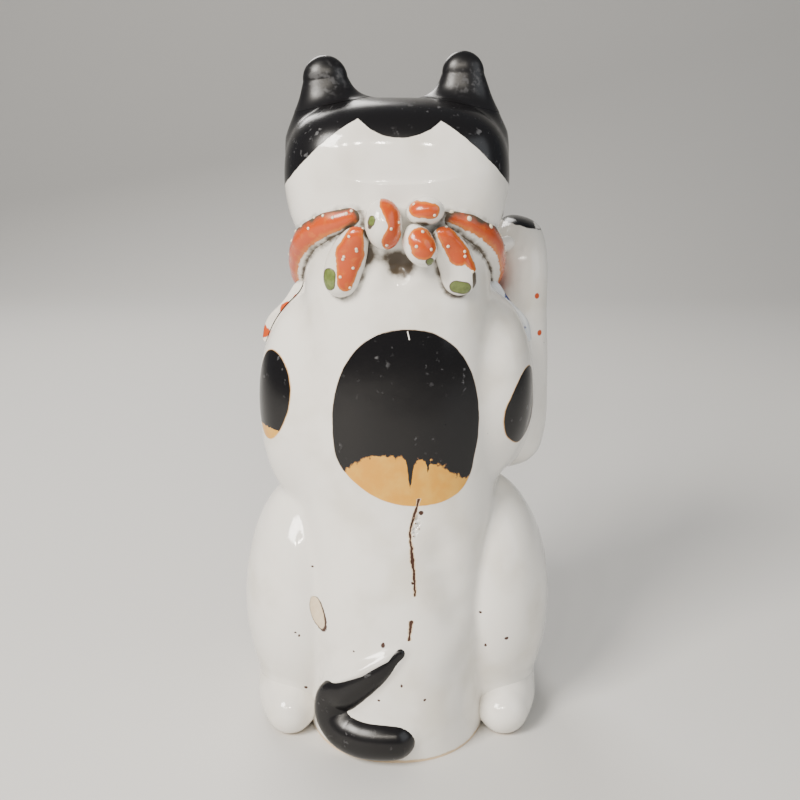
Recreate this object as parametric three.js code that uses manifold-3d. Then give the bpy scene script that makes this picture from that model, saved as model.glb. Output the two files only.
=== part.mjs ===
// A glazed porcelain beckoning cat, seen as its potter makes it: two hollow body halves and two
// hollow head halves from plaster moulds, with solid ears, legs, tail, tied scarf, bib and bell
// stuck on with slip. Everything is fired into one rigid figure, so nothing on it moves.
// Millimetres, +Z up. The face looks along -Y, the raised right forepaw is on the -X side, and
// the origin is the middle of the flat foot that the figure stands on.

import * as THREE from "three";
import { mergeVertices } from "three/addons/utils/BufferGeometryUtils.js";
import Module from "manifold-3d";

// ---------- driving dimensions ----------

const WALL = 4.5; // clay thickness of the hollow body and head
const JOINT_GAP = 0.3; // clearance left for the slip between two pieces
const GLAZE = 0.15; // thickness of the glaze coat, inside the outer sizes
const SPINE_HEIGHT = 178; // from the foot to the middle of the neck
const NECK_TILT = Math.atan2(0.6, 0.8); // the collar drops towards the chest
const BASE_THICKNESS = 5;
const VENT_RADIUS = 3.2; // firing vent through the base
const VENT_PLACE = [14, 16];
const BIB_THICKNESS = 1.9;
const FRILL_THICKNESS = 3.4;
const FRILL_WIDTH = 6;
const BIB = { middle: 158, halfWidth: 50, rise: 34, drop: 58, sideSeam: -1.5 };
const BELL_RADIUS = 8.5;

// The trunk as a column: height, half width, reach to the back, reach to the front.
const TRUNK = [
  [-20, 30, 46, 39],
  [0, 35, 47, 40],
  [15, 34, 48.5, 42],
  [50, 36, 44, 39],
  [90, 37.5, 36, 35],
  [130, 38, 34, 36],
  [160, 35.5, 31, 34],
  [178, 33.5, 28, 29],
  [200, 30, 26.5, 27],
  [230, 30, 26, 27],
];
const TRUNK_SQUARENESS = 2.3;
const TRUNK_TOP = 205; // inside the head
const NECK_BOTTOM = 140; // the part of the trunk that the head blends into starts here
const NECK_FILLET = 6;

const HAUNCH = { centre: [34.5, -4, 44], radii: [26.3, 34, 51], fillet: 2 };
const LEFT_SHOULDER = { centre: [35, -2, 124], radii: [17.5, 22, 40], fillet: 8 };
const RIGHT_SHOULDER = { centre: [-35, -2, 131], radii: [16.5, 22, 35], fillet: 6 };

const HEAD = { centre: [0, -3, 206], radii: [40, 31, 29.5], squareness: 3, jowlTaper: 0.12 };
const MUZZLE = { centre: [8, -31, 195], radii: [11, 9, 8.5], fillet: 6 };
const CHIN = { centre: [0, -27, 187], radii: [10, 9, 7], fillet: 5 };
const NOSE = { centre: [0, -37, 201], radii: [4.2, 4.5, 3.4], fillet: 4 };
const EAR_FILLET = 6;
const EAR_FLATNESS = 0.62;
const EAR_FIELD_SCALE = 0.8; // keeps the flattened ear's distance from reading too large
const LEFT_EAR = { root: [23, -2, 224], tip: [25, -2, 241.5], rootRadius: 14.5, tipRadius: 7.8 };
const RIGHT_EAR = { root: [-23, -2, 224], tip: [-23, -2, 243.5], rootRadius: 14.5, tipRadius: 7.3 };
const EAR_HOLLOW = { lift: 7, depth: 9.5, radii: [7.5, 6, 10.5], fillet: 3 };
const EAR_SEAM_HEIGHT = 238.2; // where each ear's joint plane crosses the middle of the head
const EAR_SEAM_SLOPE = 0.2; // and how fast that plane drops towards the temples
const EAR_INNER_EDGE = 9.5; // no part of an ear is nearer the middle than this

// ---------- soft shapes as distance fields ----------

const clamp01 = (value) => Math.min(Math.max(value, 0), 1);

// The smaller of two distances, with the crease between them filled by a round of that size.
function blend(a, b, fillet) {
  const overlap = Math.max(fillet - Math.abs(a - b), 0) / fillet;
  return Math.min(a, b) - (overlap * overlap * fillet) / 4;
}

function ellipsoidField(p, centre, radii) {
  const offset = [p.x - centre[0], p.y - centre[1], p.z - centre[2]];
  const scaled = Math.hypot(...offset.map((value, axis) => value / radii[axis]));
  const slope = Math.hypot(...offset.map((value, axis) => value / radii[axis] ** 2));
  return (scaled * (scaled - 1)) / Math.max(slope, 1e-6);
}

function squareField(values, radii, squareness) {
  const sum = values.reduce((total, value, i) => total + Math.abs(value / radii[i]) ** squareness, 0);
  return (sum ** (1 / squareness) - 1) * Math.min(...radii);
}

const trunkAt = new THREE.CubicInterpolant(
  TRUNK.map((row) => row[0]),
  TRUNK.flatMap((row) => row.slice(1)),
  3,
  new Float32Array(3),
);

function trunkField(p) {
  const [halfWidth, back, front] = trunkAt.evaluate(p.z);
  const halfDepth = (back + front) / 2;
  return squareField([p.x, p.y - (back - front) / 2], [halfWidth, halfDepth], TRUNK_SQUARENESS);
}

// A lump pressed on to a shape that is this far away.
const withLump = (distance, p, lump) =>
  blend(distance, ellipsoidField(p, lump.centre, lump.radii), lump.fillet);

// A pair of lumps, one on each side.
const withPair = (distance, p, lump) =>
  withLump(distance, new THREE.Vector3(Math.abs(p.x), p.y, p.z), lump);

function bodyField(p) {
  const withShoulders = withLump(withLump(trunkField(p), p, LEFT_SHOULDER), p, RIGHT_SHOULDER);
  return withPair(withShoulders, p, HAUNCH);
}

// An ear is a flat tapered finger with a scooped front.
function earField(p, ear) {
  const root = new THREE.Vector3(...ear.root);
  const axis = new THREE.Vector3(...ear.tip).sub(root);
  const local = p.clone().sub(root);
  local.y /= EAR_FLATNESS;
  const along = clamp01(local.dot(axis) / axis.lengthSq());
  const radius = ear.rootRadius + along * (ear.tipRadius - ear.rootRadius);
  const finger = (local.addScaledVector(axis, -along).length() - radius) * EAR_FIELD_SCALE;
  const scoopCentre = [ear.tip[0], ear.root[1] - EAR_HOLLOW.depth, ear.root[2] + EAR_HOLLOW.lift];
  const scoop = ellipsoidField(p, scoopCentre, EAR_HOLLOW.radii);
  return -blend(-finger, scoop, EAR_HOLLOW.fillet);
}

function plainHeadField(p) {
  const offset = p.toArray().map((value, axis) => value - HEAD.centre[axis]);
  const [halfWidth, halfDepth, halfHeight] = HEAD.radii;
  const taperedWidth = halfWidth - HEAD.jowlTaper * Math.max(-offset[2], 0);
  const skull = squareField(offset, [taperedWidth, halfDepth, halfHeight], HEAD.squareness);
  const neck = Math.max(trunkField(p), p.z - TRUNK_TOP, NECK_BOTTOM - p.z);
  return blend(skull, neck, NECK_FILLET);
}

function headField(p) {
  let distance = withPair(plainHeadField(p), p, MUZZLE);
  distance = withLump(withLump(distance, p, CHIN), p, NOSE);
  distance = blend(distance, earField(p, LEFT_EAR), EAR_FILLET);
  return blend(distance, earField(p, RIGHT_EAR), EAR_FILLET);
}

// How far along a ray from inside a shape its skin lies.
function reach(field, from, direction, level = 0) {
  const probe = new THREE.Vector3();
  const outside = (distance) => field(probe.copy(from).addScaledVector(direction, distance)) > level;
  let far = 90;
  while (far > 3 && outside(far - 3)) far -= 3;
  let near = far - 3;
  for (let step = 0; step < 22; step += 1) {
    const middle = (near + far) / 2;
    if (outside(middle)) far = middle;
    else near = middle;
  }
  return (near + far) / 2;
}

// ---------- solids ----------

const wasm = await Module();
wasm.setup();

function solidFrom(geometry) {
  const bare = geometry.clone();
  bare.deleteAttribute("normal");
  bare.deleteAttribute("uv");
  const merged = mergeVertices(bare, 1e-4);
  const vertProperties = merged.attributes.position.array;
  const triVerts = new Uint32Array(merged.index.array);
  return new wasm.Manifold(new wasm.Mesh({ numProp: 3, vertProperties, triVerts }));
}

function geometryFrom(solid) {
  const mesh = solid.getMesh();
  const geometry = new THREE.BufferGeometry();
  geometry.setAttribute("position", new THREE.BufferAttribute(mesh.vertProperties, 3));
  geometry.setIndex(new THREE.BufferAttribute(mesh.triVerts, 1));
  geometry.computeVertexNormals();
  return geometry;
}

// Moves each vertex of a stock geometry to the place that a function gives for it.
function reshape(geometry, place) {
  const positions = geometry.attributes.position;
  const vertex = new THREE.Vector3();
  for (let i = 0; i < positions.count; i += 1) {
    vertex.fromBufferAttribute(positions, i);
    positions.setXYZ(i, ...place(vertex).toArray());
  }
  return geometry;
}

function box(low, high) {
  const [width, depth, height] = high.map((value, axis) => value - low[axis]);
  const geometry = new THREE.BoxGeometry(width, depth, height);
  return geometry.translate((low[0] + high[0]) / 2, (low[1] + high[1]) / 2, (low[2] + high[2]) / 2);
}

const REACH_OUT = 300;
const aboveFloor = solidFrom(box([-REACH_OUT, -REACH_OUT, 0], [REACH_OUT, REACH_OUT, REACH_OUT]));
const sideOf = (axis, sign) => {
  const low = [-REACH_OUT, -REACH_OUT, -REACH_OUT];
  const high = [REACH_OUT, REACH_OUT, REACH_OUT];
  if (sign > 0) low[axis] = JOINT_GAP / 2;
  else high[axis] = -JOINT_GAP / 2;
  return solidFrom(box(low, high));
};
const backHalf = sideOf(1, 1);
const frontHalf = sideOf(1, -1);
const leftHalf = sideOf(0, 1);
const rightHalf = sideOf(0, -1);

// Everything above the sloping neck plane, lifted by a clearance.
const neckCentre = new THREE.Vector3(0, 0, SPINE_HEIGHT);
function aboveNeck(clearance) {
  const slab = box([-REACH_OUT, -REACH_OUT, clearance], [REACH_OUT, REACH_OUT, REACH_OUT]);
  return solidFrom(slab.rotateX(NECK_TILT).translate(...neckCentre.toArray()));
}

// ---------- the hollow body ----------

const spineAt = (share) => new THREE.Vector3(0, 0, SPINE_HEIGHT * share);
const tiltAt = (share) => NECK_TILT * THREE.MathUtils.smoothstep(share, 0.35, 1);

function sectionRay(share, angle) {
  const tilt = tiltAt(share);
  const sine = Math.sin(angle);
  return new THREE.Vector3(Math.cos(angle), sine * Math.cos(tilt), sine * Math.sin(tilt));
}

// A column of sections that lean with the spine, each one stretched out to the body's skin.
function bodyColumn(level, from, to, around, rows) {
  const column = new THREE.CylinderGeometry(1, 1, 1, around, rows);
  return solidFrom(
    reshape(column, (vertex) => {
      const share = from + (to - from) * (vertex.y + 0.5);
      const centre = spineAt(share);
      const radius = Math.hypot(vertex.x, vertex.z);
      if (radius < 0.5) return centre;
      const ray = sectionRay(share, Math.atan2(-vertex.z, vertex.x));
      return centre.addScaledVector(ray, reach(bodyField, spineAt(share), ray, level));
    }),
  );
}

const BODY_AROUND = 32;
const BODY_ROWS = 24;
const coat = (level) => bodyColumn(level, -0.04, 1.04, BODY_AROUND, BODY_ROWS);
const bodySkin = coat(GLAZE).intersect(aboveFloor).subtract(aboveNeck(0));
const bodyRoom = coat(GLAZE + JOINT_GAP);
const hollowColumn = (level) => bodyColumn(level, -0.03, 1.03, 16, 10);
const bodyHollow = hollowColumn(-WALL);
const bodyShell = bodySkin.subtract(bodyHollow);

function baseSlab() {
  const slice = box([-REACH_OUT, -REACH_OUT, 0], [REACH_OUT, REACH_OUT, BASE_THICKNESS]);
  const plate = hollowColumn(-WALL - JOINT_GAP).intersect(solidFrom(slice));
  const vent = new THREE.CylinderGeometry(VENT_RADIUS, VENT_RADIUS, 4 * BASE_THICKNESS, 20)
    .rotateX(Math.PI / 2)
    .translate(VENT_PLACE[0], VENT_PLACE[1], 0);
  return plate.subtract(solidFrom(vent));
}

// ---------- the hollow head and its ears ----------

const headCentre = new THREE.Vector3(0, 0, HEAD.centre[2]);

function headBall(field, level, around, rows) {
  const ball = new THREE.SphereGeometry(1, around, rows).rotateX(Math.PI / 2);
  return solidFrom(
    reshape(ball, (vertex) => {
      const ray = vertex.clone().normalize();
      return headCentre.clone().addScaledVector(ray, reach(field, headCentre, ray, level));
    }),
  );
}

const headSkin = headBall(headField, GLAZE, 34, 26).intersect(aboveNeck(JOINT_GAP));
const headRoom = headBall(headField, GLAZE + JOINT_GAP, 34, 26);
const headHollow = headBall(plainHeadField, -WALL, 16, 10);

// The half space above the slanting joint under one ear.
function aboveEarSeam(side, clearance) {
  const slab = box([EAR_INNER_EDGE, -REACH_OUT, clearance], [REACH_OUT, REACH_OUT, REACH_OUT]);
  const sloped = slab.rotateY(Math.atan(EAR_SEAM_SLOPE)).translate(0, 0, EAR_SEAM_HEIGHT);
  return side > 0 ? solidFrom(sloped) : solidFrom(sloped.rotateZ(Math.PI));
}

const headShell = headSkin
  .subtract(headHollow)
  .subtract(aboveEarSeam(1, 0))
  .subtract(aboveEarSeam(-1, 0));

// Each ear is shaped by rays from its own root, so that its tip is as fine as its foot.
function ear(side, { root }) {
  const centre = new THREE.Vector3(...root).setZ(EAR_SEAM_HEIGHT - EAR_SEAM_SLOPE * Math.abs(root[0]));
  const ball = new THREE.SphereGeometry(1, 20, 18).rotateX(Math.PI / 2);
  const whole = reshape(ball, (vertex) => {
    const ray = vertex.clone().normalize();
    return centre.clone().addScaledVector(ray, reach(headField, centre, ray, GLAZE));
  });
  return solidFrom(whole).intersect(aboveEarSeam(side, JOINT_GAP));
}

// ---------- limbs and lumps of solid clay ----------

// A finger of clay along a smooth curve, with rounded ends and its own thickness at each point.
function limb(points, radii, { flatness = 1, up = [0, 0, 1], around = 12, rows = 10, grow = 0 } = {}) {
  const curve = new THREE.CatmullRomCurve3(points.map((point) => new THREE.Vector3(...point)));
  const length = curve.getLength();
  const upward = new THREE.Vector3(...up);
  const radiusAt = (share) => {
    const place = curve.getUtoTmapping(share) * (radii.length - 1);
    const index = Math.min(Math.floor(place), radii.length - 2);
    return THREE.MathUtils.lerp(radii[index], radii[index + 1], place - index);
  };
  const ball = new THREE.SphereGeometry(1, around, rows);
  return solidFrom(
    reshape(ball, (vertex) => {
      const share = clamp01((1 - vertex.y) / 2);
      const radius = radiusAt(share);
      const toEnd = Math.min(share, 1 - share) * length;
      const round = toEnd < radius ? Math.sqrt(1 - (1 - toEnd / radius) ** 2) : 1;
      const tangent = curve.getTangentAt(share);
      const across = new THREE.Vector3().crossVectors(tangent, upward).normalize();
      const above = new THREE.Vector3().crossVectors(across, tangent);
      const angle = Math.atan2(vertex.z, vertex.x);
      const width = vertex.y > 0.9999 || vertex.y < -0.9999 ? 0 : radius * round + grow;
      return curve
        .getPointAt(share)
        .addScaledVector(across, -width * Math.cos(angle))
        .addScaledVector(above, width * flatness * Math.sin(angle))
        .addScaledVector(tangent, grow * -vertex.y);
    }),
  );
}

function lump(centre, radii, [turnX, turnY, turnZ], grow = 0, around = 14, rows = 8) {
  const ball = new THREE.SphereGeometry(1, around, rows);
  ball.scale(...radii.map((radius) => radius + grow));
  ball.rotateX(turnX).rotateY(turnY).rotateZ(turnZ);
  return solidFrom(ball.translate(...centre));
}

// The back of the body at a given place, for what is stuck on there.
const BACKWARD = new THREE.Vector3(0, 1, 0);
const backSkin = (x, z) => reach(bodyField, new THREE.Vector3(x, 0, z), BACKWARD);
const onBack = (x, z, lift) => [x, backSkin(x, z) + lift, z];

const raisedForeleg = (grow) =>
  limb(
    [
      [-40, -8, 97],
      [-44.6, -11, 114],
      [-47.5, -14, 134],
      [-48, -16, 158],
      [-48, -18, 175],
      [-47.5, -25, 182.5],
      [-46.5, -36, 181.5],
      [-46, -42.5, 175],
    ],
    [13.5, 13.6, 11.2, 9.7, 9.6, 9.4, 9.8, 9.6],
    { up: [0, 1, 0.35], rows: 18, grow },
  );

const pawStrut = (grow) =>
  limb([[-32, -9, 180], [-38, -12, 182], [-44, -16, 183]], [3.6, 2.9, 3.6], { around: 10, rows: 8, grow });

const standingForeleg = (grow) =>
  limb(
    [
      [27, -16, 103],
      [25, -28, 82],
      [20, -40, 40],
      [18, -43, 16],
      [17.5, -52, 8.5],
    ],
    [13, 14, 11.5, 10.5, 10.5],
    { up: [1, 0, 0], rows: 14, grow },
  );

const hindPaw = (side) => (grow) =>
  limb(
    [
      [side * 38, 33, 7.4],
      [side * 44.6, 12, 8.6],
      [side * 44.8, -20, 9],
      [side * 42, -46, 8],
    ],
    [8.6, 10.4, 10.8, 11],
    { around: 10, rows: 12, grow },
  );

// The bobtail lies curled against the rump, in (x, z): a thin tip on the spine, a straight
// thickening run, one round bend, and a straight blunt end.
const TAIL_TIP = [-2, 45];
const TAIL_END = [-6, 9.5];
const TAIL_BEND = { centre: [14, 19], radius: 9.5, from: 65, to: -95, steps: 4 };
const TAIL_RADII = [1.2, 4.2, 6.4, 7.2, 7.5, 7.4, 7.2, 6.9, 6];

const midway = (a, b) => [(a[0] + b[0]) / 2, (a[1] + b[1]) / 2];

// The points of a round bend, evenly spaced along its arc.
function bendPoints({ centre, radius, from, to, steps }) {
  return Array.from({ length: steps + 1 }, (_, k) => {
    const angle = THREE.MathUtils.degToRad(from + ((to - from) * k) / steps);
    return [centre[0] + radius * Math.cos(angle), centre[1] + radius * Math.sin(angle)];
  });
}

const tailBend = bendPoints(TAIL_BEND);
const TAIL_ROUTE = [
  TAIL_TIP,
  midway(TAIL_TIP, tailBend[0]),
  ...tailBend,
  midway(tailBend.at(-1), TAIL_END),
  TAIL_END,
];
const tail = (grow) =>
  limb(
    TAIL_ROUTE.map(([x, z]) => onBack(x, z, 0)),
    TAIL_RADII,
    { up: [0, 1, 0], flatness: 0.75, rows: 22, grow },
  );

// ---------- the tied scarf ----------

// A point of the ring where the head sits on the body, measured round from the nape.
function neckRing(angle, lift) {
  const ray = sectionRay(1, Math.PI / 2 - angle);
  return neckCentre.clone().addScaledVector(ray, reach(bodyField, neckCentre, ray) + lift);
}

const FRONT_END = THREE.MathUtils.degToRad(177.5);
const BAND_RADII = [3.8, 5.6, 5.8, 5.2, 4.8, 4.6, 4.5, 4.4, 4.4];

function scarfBand(side, startDegrees) {
  const start = THREE.MathUtils.degToRad(startDegrees);
  const route = BAND_RADII.map((_, i) => {
    const angle = start + ((FRONT_END - start) * i) / (BAND_RADII.length - 1);
    return neckRing(side * angle, 1.2).toArray();
  });
  return (grow) => limb(route, BAND_RADII, { up: [0, -0.6, 0.8], around: 10, rows: 18, grow });
}

const scarfKnot = (grow) => lump([4.4, 33.4, 195.2], [6.4, 7, 8.6], [0.25, 0.12, 0], grow);
const upperLoop = (grow) => lump([-9.3, 31.8, 199], [6.6, 5.6, 4.7], [0.3, 0.2, -0.1], grow);
const lowerLoop = (grow) => lump([-7.4, 33.6, 188.2], [5.5, 5.8, 7.6], [0.2, 0.42, 0.1], grow);
const leftEnd = (grow) =>
  limb([[11.8, 32.5, 194], onBack(16.8, 183, 2.6), onBack(20.6, 169.8, 2)], [3.6, 6.6, 5.8], {
    up: [0, 1, 0],
    flatness: 0.72,
    grow,
  });
const rightEnd = (grow) =>
  limb([[-13.5, 32, 193.5], onBack(-19.2, 183, 2.6), onBack(-22.8, 170.2, 2)], [3.6, 6.3, 6], {
    up: [0, 1, 0],
    flatness: 0.72,
    grow,
  });

// ---------- the bib and its frill ----------

// The bib's outline from the front: a rounded apron, wider than the shoulders at its top.
function bibOutline(inset) {
  const halfWidth = BIB.halfWidth - inset;
  const outline = new THREE.Shape();
  outline.absellipse(0, BIB.middle, halfWidth, BIB.rise - inset, 0, Math.PI);
  outline.absellipse(0, BIB.middle, halfWidth, BIB.drop - inset, Math.PI, 2 * Math.PI);
  return outline;
}

// Extrudes that outline straight through the chest, from in front of it to the side seam.
function bibPrism(inset) {
  const settings = { depth: 70, bevelEnabled: false, curveSegments: 10 };
  const prism = new THREE.ExtrudeGeometry(bibOutline(inset), settings);
  return solidFrom(prism.rotateX(Math.PI / 2).translate(0, BIB.sideSeam - inset, 0));
}

const wholeBib = bibPrism(0);
const innerBib = bibPrism(FRILL_WIDTH);
const bibSheet = coat(BIB_THICKNESS).intersect(innerBib).subtract(aboveNeck(0));
const frillSheet = coat(FRILL_THICKNESS)
  .intersect(wholeBib)
  .subtract(bibPrism(FRILL_WIDTH - JOINT_GAP))
  .subtract(aboveNeck(0));
const bibRoom = coat(BIB_THICKNESS + JOINT_GAP)
  .intersect(bibPrism(FRILL_WIDTH - 2 * JOINT_GAP))
  .add(coat(FRILL_THICKNESS + JOINT_GAP).intersect(bibPrism(-JOINT_GAP)).subtract(innerBib));

// ---------- the bell ----------

const BELL_PLACE = new THREE.Vector3(0, -45.5, 139.5);

function bell(grow) {
  const radius = BELL_RADIUS + grow;
  const rib = 1.1;
  const profile = [];
  const steps = 11;
  for (let i = 0; i <= steps; i += 1) {
    const angle = -Math.PI / 2 + (i / steps) * Math.PI;
    const swell = Math.abs(angle) < 0.15 ? rib : 0;
    const across = i === 0 || i === steps ? 0 : (radius + swell) * Math.cos(angle);
    profile.push(new THREE.Vector2(across, radius * Math.sin(angle)));
  }
  const ball = new THREE.LatheGeometry(profile, 16).rotateX(Math.PI / 2);
  return solidFrom(ball.translate(...BELL_PLACE.toArray()));
}

function bellSlot() {
  const size = BELL_RADIUS * 2;
  const slot = box([-0.8, -BELL_RADIUS - 2, -size], [0.8, -BELL_RADIUS + 5, -1.2]);
  return solidFrom(slot.translate(...BELL_PLACE.toArray()));
}

const bellLoop = (grow) => {
  const ring = new THREE.TorusGeometry(2.9, 1.2 + grow, 6, 12).rotateY(Math.PI / 2);
  return solidFrom(ring.translate(BELL_PLACE.x, BELL_PLACE.y + 1.6, BELL_PLACE.z + BELL_RADIUS + 2));
};

// ---------- glazes ----------

const glaze = (colour, roughness, metalness = 0) =>
  new THREE.MeshStandardMaterial({ color: colour, roughness, metalness });
const whiteGlaze = () => glaze("#e6e2da", 0.18);
const blackGlaze = () => glaze("#0d0c0c", 0.16);
const orangeEnamel = () => glaze("#c8602f", 0.25);
const blueEnamel = () => glaze("#c7d2df", 0.2);
const goldLustre = () => glaze("#c79a45", 0.28, 1);
const bareClay = () => glaze("#c9b79a", 0.85);

// ---------- assembly ----------

const figure = new THREE.Group();

function addPiece(name, solid, material) {
  const mesh = new THREE.Mesh(geometryFrom(solid), material);
  mesh.name = name;
  figure.add(mesh);
}

// Stuck-on pieces, in the order they are set: each one is shaped round all that came before.
const taken = [bodyRoom, headRoom];

function stickOn(name, shape, material) {
  let solid = shape(0).intersect(aboveFloor);
  for (const neighbour of taken) solid = solid.subtract(neighbour);
  addPiece(name, solid, material);
  taken.push(shape(JOINT_GAP));
}

addPiece("body_back_shell", bodyShell.intersect(backHalf), whiteGlaze());
addPiece("body_front_shell", bodyShell.intersect(frontHalf), whiteGlaze());
addPiece("base_slab", baseSlab(), bareClay());
addPiece("head_back_shell", headShell.intersect(backHalf), whiteGlaze());
addPiece("head_front_shell", headShell.intersect(frontHalf), whiteGlaze());
addPiece("ear_left", ear(1, LEFT_EAR), blackGlaze());
addPiece("ear_right", ear(-1, RIGHT_EAR), blackGlaze());

stickOn("scarf_band_left", scarfBand(1, 19), orangeEnamel());
stickOn("scarf_band_right", scarfBand(-1, 24), orangeEnamel());
stickOn("scarf_knot", scarfKnot, orangeEnamel());
stickOn("bow_loop_lower", lowerLoop, orangeEnamel());
stickOn("bow_loop_upper", upperLoop, orangeEnamel());
stickOn("bow_end_left", leftEnd, orangeEnamel());
stickOn("bow_end_right", rightEnd, orangeEnamel());

stickOn("bib_left", () => bibSheet.intersect(leftHalf), orangeEnamel());
stickOn("bib_right", () => bibSheet.intersect(rightHalf), blueEnamel());
stickOn("bib_frill_left", () => frillSheet.intersect(leftHalf), whiteGlaze());
stickOn("bib_frill_right", () => frillSheet.intersect(rightHalf), blueEnamel());
taken.push(bibRoom);

stickOn("bell", (grow) => (grow ? bell(grow) : bell(0).subtract(bellSlot())), goldLustre());
stickOn("bell_loop", bellLoop, goldLustre());
stickOn("raised_foreleg", raisedForeleg, whiteGlaze());
stickOn("paw_strut", pawStrut, whiteGlaze());
stickOn("standing_foreleg", standingForeleg, whiteGlaze());
stickOn("hind_paw_left", hindPaw(1), whiteGlaze());
stickOn("hind_paw_right", hindPaw(-1), whiteGlaze());
stickOn("tail", tail, blackGlaze());

export default figure;
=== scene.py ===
# %% [markdown]
# # A glazed porcelain beckoning cat
# The figure is clay from plaster moulds: two hollow body halves, two hollow head halves, and
# solid pieces stuck on with slip. Glaze and fired enamel colours cover all of it. Each clay
# piece is one surface here, worked out from the same soft shapes that the solid design uses,
# so that every piece lands in its solid's place. Lengths are millimetres until a mesh is made.

# %% The fixed frame and its box
import copy
import math

import bmesh
import bpy
import numpy as np
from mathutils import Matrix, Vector


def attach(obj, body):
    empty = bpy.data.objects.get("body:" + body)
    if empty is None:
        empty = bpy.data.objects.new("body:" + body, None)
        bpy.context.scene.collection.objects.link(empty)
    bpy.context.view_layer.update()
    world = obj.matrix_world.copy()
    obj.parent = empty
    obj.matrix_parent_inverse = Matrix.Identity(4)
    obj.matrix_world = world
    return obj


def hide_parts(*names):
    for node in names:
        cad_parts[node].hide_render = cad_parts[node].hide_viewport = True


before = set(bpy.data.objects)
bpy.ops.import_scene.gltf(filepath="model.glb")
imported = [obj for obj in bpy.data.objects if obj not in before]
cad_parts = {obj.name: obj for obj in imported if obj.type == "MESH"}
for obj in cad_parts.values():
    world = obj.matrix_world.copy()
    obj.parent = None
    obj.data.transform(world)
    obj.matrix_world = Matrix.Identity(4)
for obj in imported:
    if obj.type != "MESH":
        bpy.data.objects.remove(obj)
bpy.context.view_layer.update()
MM = 0.001  # metres in a millimetre

# %% [markdown]
# ## The camera
# It stands behind the figure, a forearm's length away and a little above it, and looks down
# at the knot of the scarf. It comes first so that everything else can be judged through it.

# %% Camera
camera_data = bpy.data.cameras.new("camera")
camera_data.lens = 45
camera_data.sensor_width = 36
camera_data.shift_x = 0.00375  # the figure stands a touch left of the middle
camera_data.clip_start = 0.02
camera = bpy.data.objects.new("camera", camera_data)
bpy.context.collection.objects.link(camera)
camera.location = (0, 0.364, 0.230)
camera.rotation_euler = (math.radians(90 - 16), 0, math.radians(180))
bpy.context.scene.camera = camera

# %% [markdown]
# ## Soft shapes
# Clay has no hard corners. Each form below is a distance field: a function that gives, for
# any point, about how far it is outside (+) or inside (-) a lump. Two lumps join with a
# filled crease, as slip and thumb pressure leave it. A surface is then found by walking a ray
# out from the middle until the distance is nought.

# %% Distances to lumps
def smooth_union(a, b, fillet):
    """The smaller distance, less fillet / 4 times the square of how nearly equal the two are."""
    overlap = np.maximum(fillet - np.abs(a - b), 0) / fillet
    return np.minimum(a, b) - overlap**2 * fillet / 4


def ellipsoid(p, centre, radii):
    """k (k - 1) / g, where k is the length of p / r and g the length of p / r squared."""
    q = p - np.asarray(centre, float)
    k = np.linalg.norm(q / np.asarray(radii, float), axis=-1)
    g = np.linalg.norm(q / np.square(np.asarray(radii, float)), axis=-1)
    return k * (k - 1) / np.maximum(g, 1e-6)


def squared_ellipse(values, radii, squareness):
    """The power mean of the coordinates over their radii, less one, times the least radius."""
    total = sum(np.abs(v / r) ** squareness for v, r in zip(values, radii))
    least = np.minimum.reduce([np.broadcast_to(r, total.shape) for r in radii])
    return (total ** (1 / squareness) - 1) * least


def table_curve(x, knots, values):
    """A cubic through table rows, whose slope at a row is that of the line between its neighbours."""
    knots, values = np.asarray(knots, float), np.asarray(values, float)
    slopes = np.empty_like(values)
    slopes[1:-1] = (values[2:] - values[:-2]) / (knots[2:] - knots[:-2])[:, None]
    slopes[0] = (values[1] - values[0]) / (knots[1] - knots[0])
    slopes[-1] = (values[-1] - values[-2]) / (knots[-1] - knots[-2])
    i = np.clip(np.searchsorted(knots, x) - 1, 0, len(knots) - 2)
    span = (knots[i + 1] - knots[i])[..., None]
    t = np.clip((x - knots[i])[..., None] / span, 0, 1)
    start, end = values[i], values[i + 1]
    return (
        (1 + 2 * t) * (1 - t) ** 2 * start
        + t * (1 - t) ** 2 * span * slopes[i]
        + t**2 * (3 - 2 * t) * end
        + t**2 * (t - 1) * span * slopes[i + 1]
    )


# %% [markdown]
# ## The body's form
# A long column for the trunk, whose width and depth are read from a short table of heights,
# with a haunch and a shoulder on each side. The head is a squarish ball with a muzzle, a chin
# and two flat, scooped ears that taper from its sides to round tips.

# %% Trunk, haunches, shoulders
SPINE = 178.0  # foot to the middle of the neck
NECK_TILT = math.atan2(0.6, 0.8)
WALL = 4.5
TRUNK_HEIGHTS = [-20, 0, 15, 50, 90, 130, 160, 178, 200, 230]
TRUNK_REACHES = [  # half width, to the back, to the front
    [30, 46, 39], [35, 47, 40], [34, 48.5, 42], [36, 44, 39], [37.5, 36, 35],
    [38, 34, 36], [35.5, 31, 34], [33.5, 28, 29], [30, 26.5, 27], [30, 26, 27],
]


def trunk(p):
    """A column whose level sections are squared ellipses, from the table of half width, back and front."""
    reaches = table_curve(p[..., 2], TRUNK_HEIGHTS, TRUNK_REACHES)
    half_width, back, front = reaches[..., 0], reaches[..., 1], reaches[..., 2]
    return squared_ellipse((p[..., 0], p[..., 1] - (back - front) / 2), (half_width, (back + front) / 2), 2.3)


def mirrored(p):
    """The same point with its X made positive, for forms that both sides share."""
    return np.stack([np.abs(p[..., 0]), p[..., 1], p[..., 2]], axis=-1)


def body(p):
    """The trunk joined to both shoulders, of which the right one is higher, and both haunches."""
    whole = smooth_union(trunk(p), ellipsoid(p, (35, -2, 124), (17.5, 22, 40)), 8)
    whole = smooth_union(whole, ellipsoid(p, (-35, -2, 131), (16.5, 22, 35)), 6)
    return smooth_union(whole, ellipsoid(mirrored(p), (34.5, -4, 44), (26.3, 34, 51)), 2)


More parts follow.
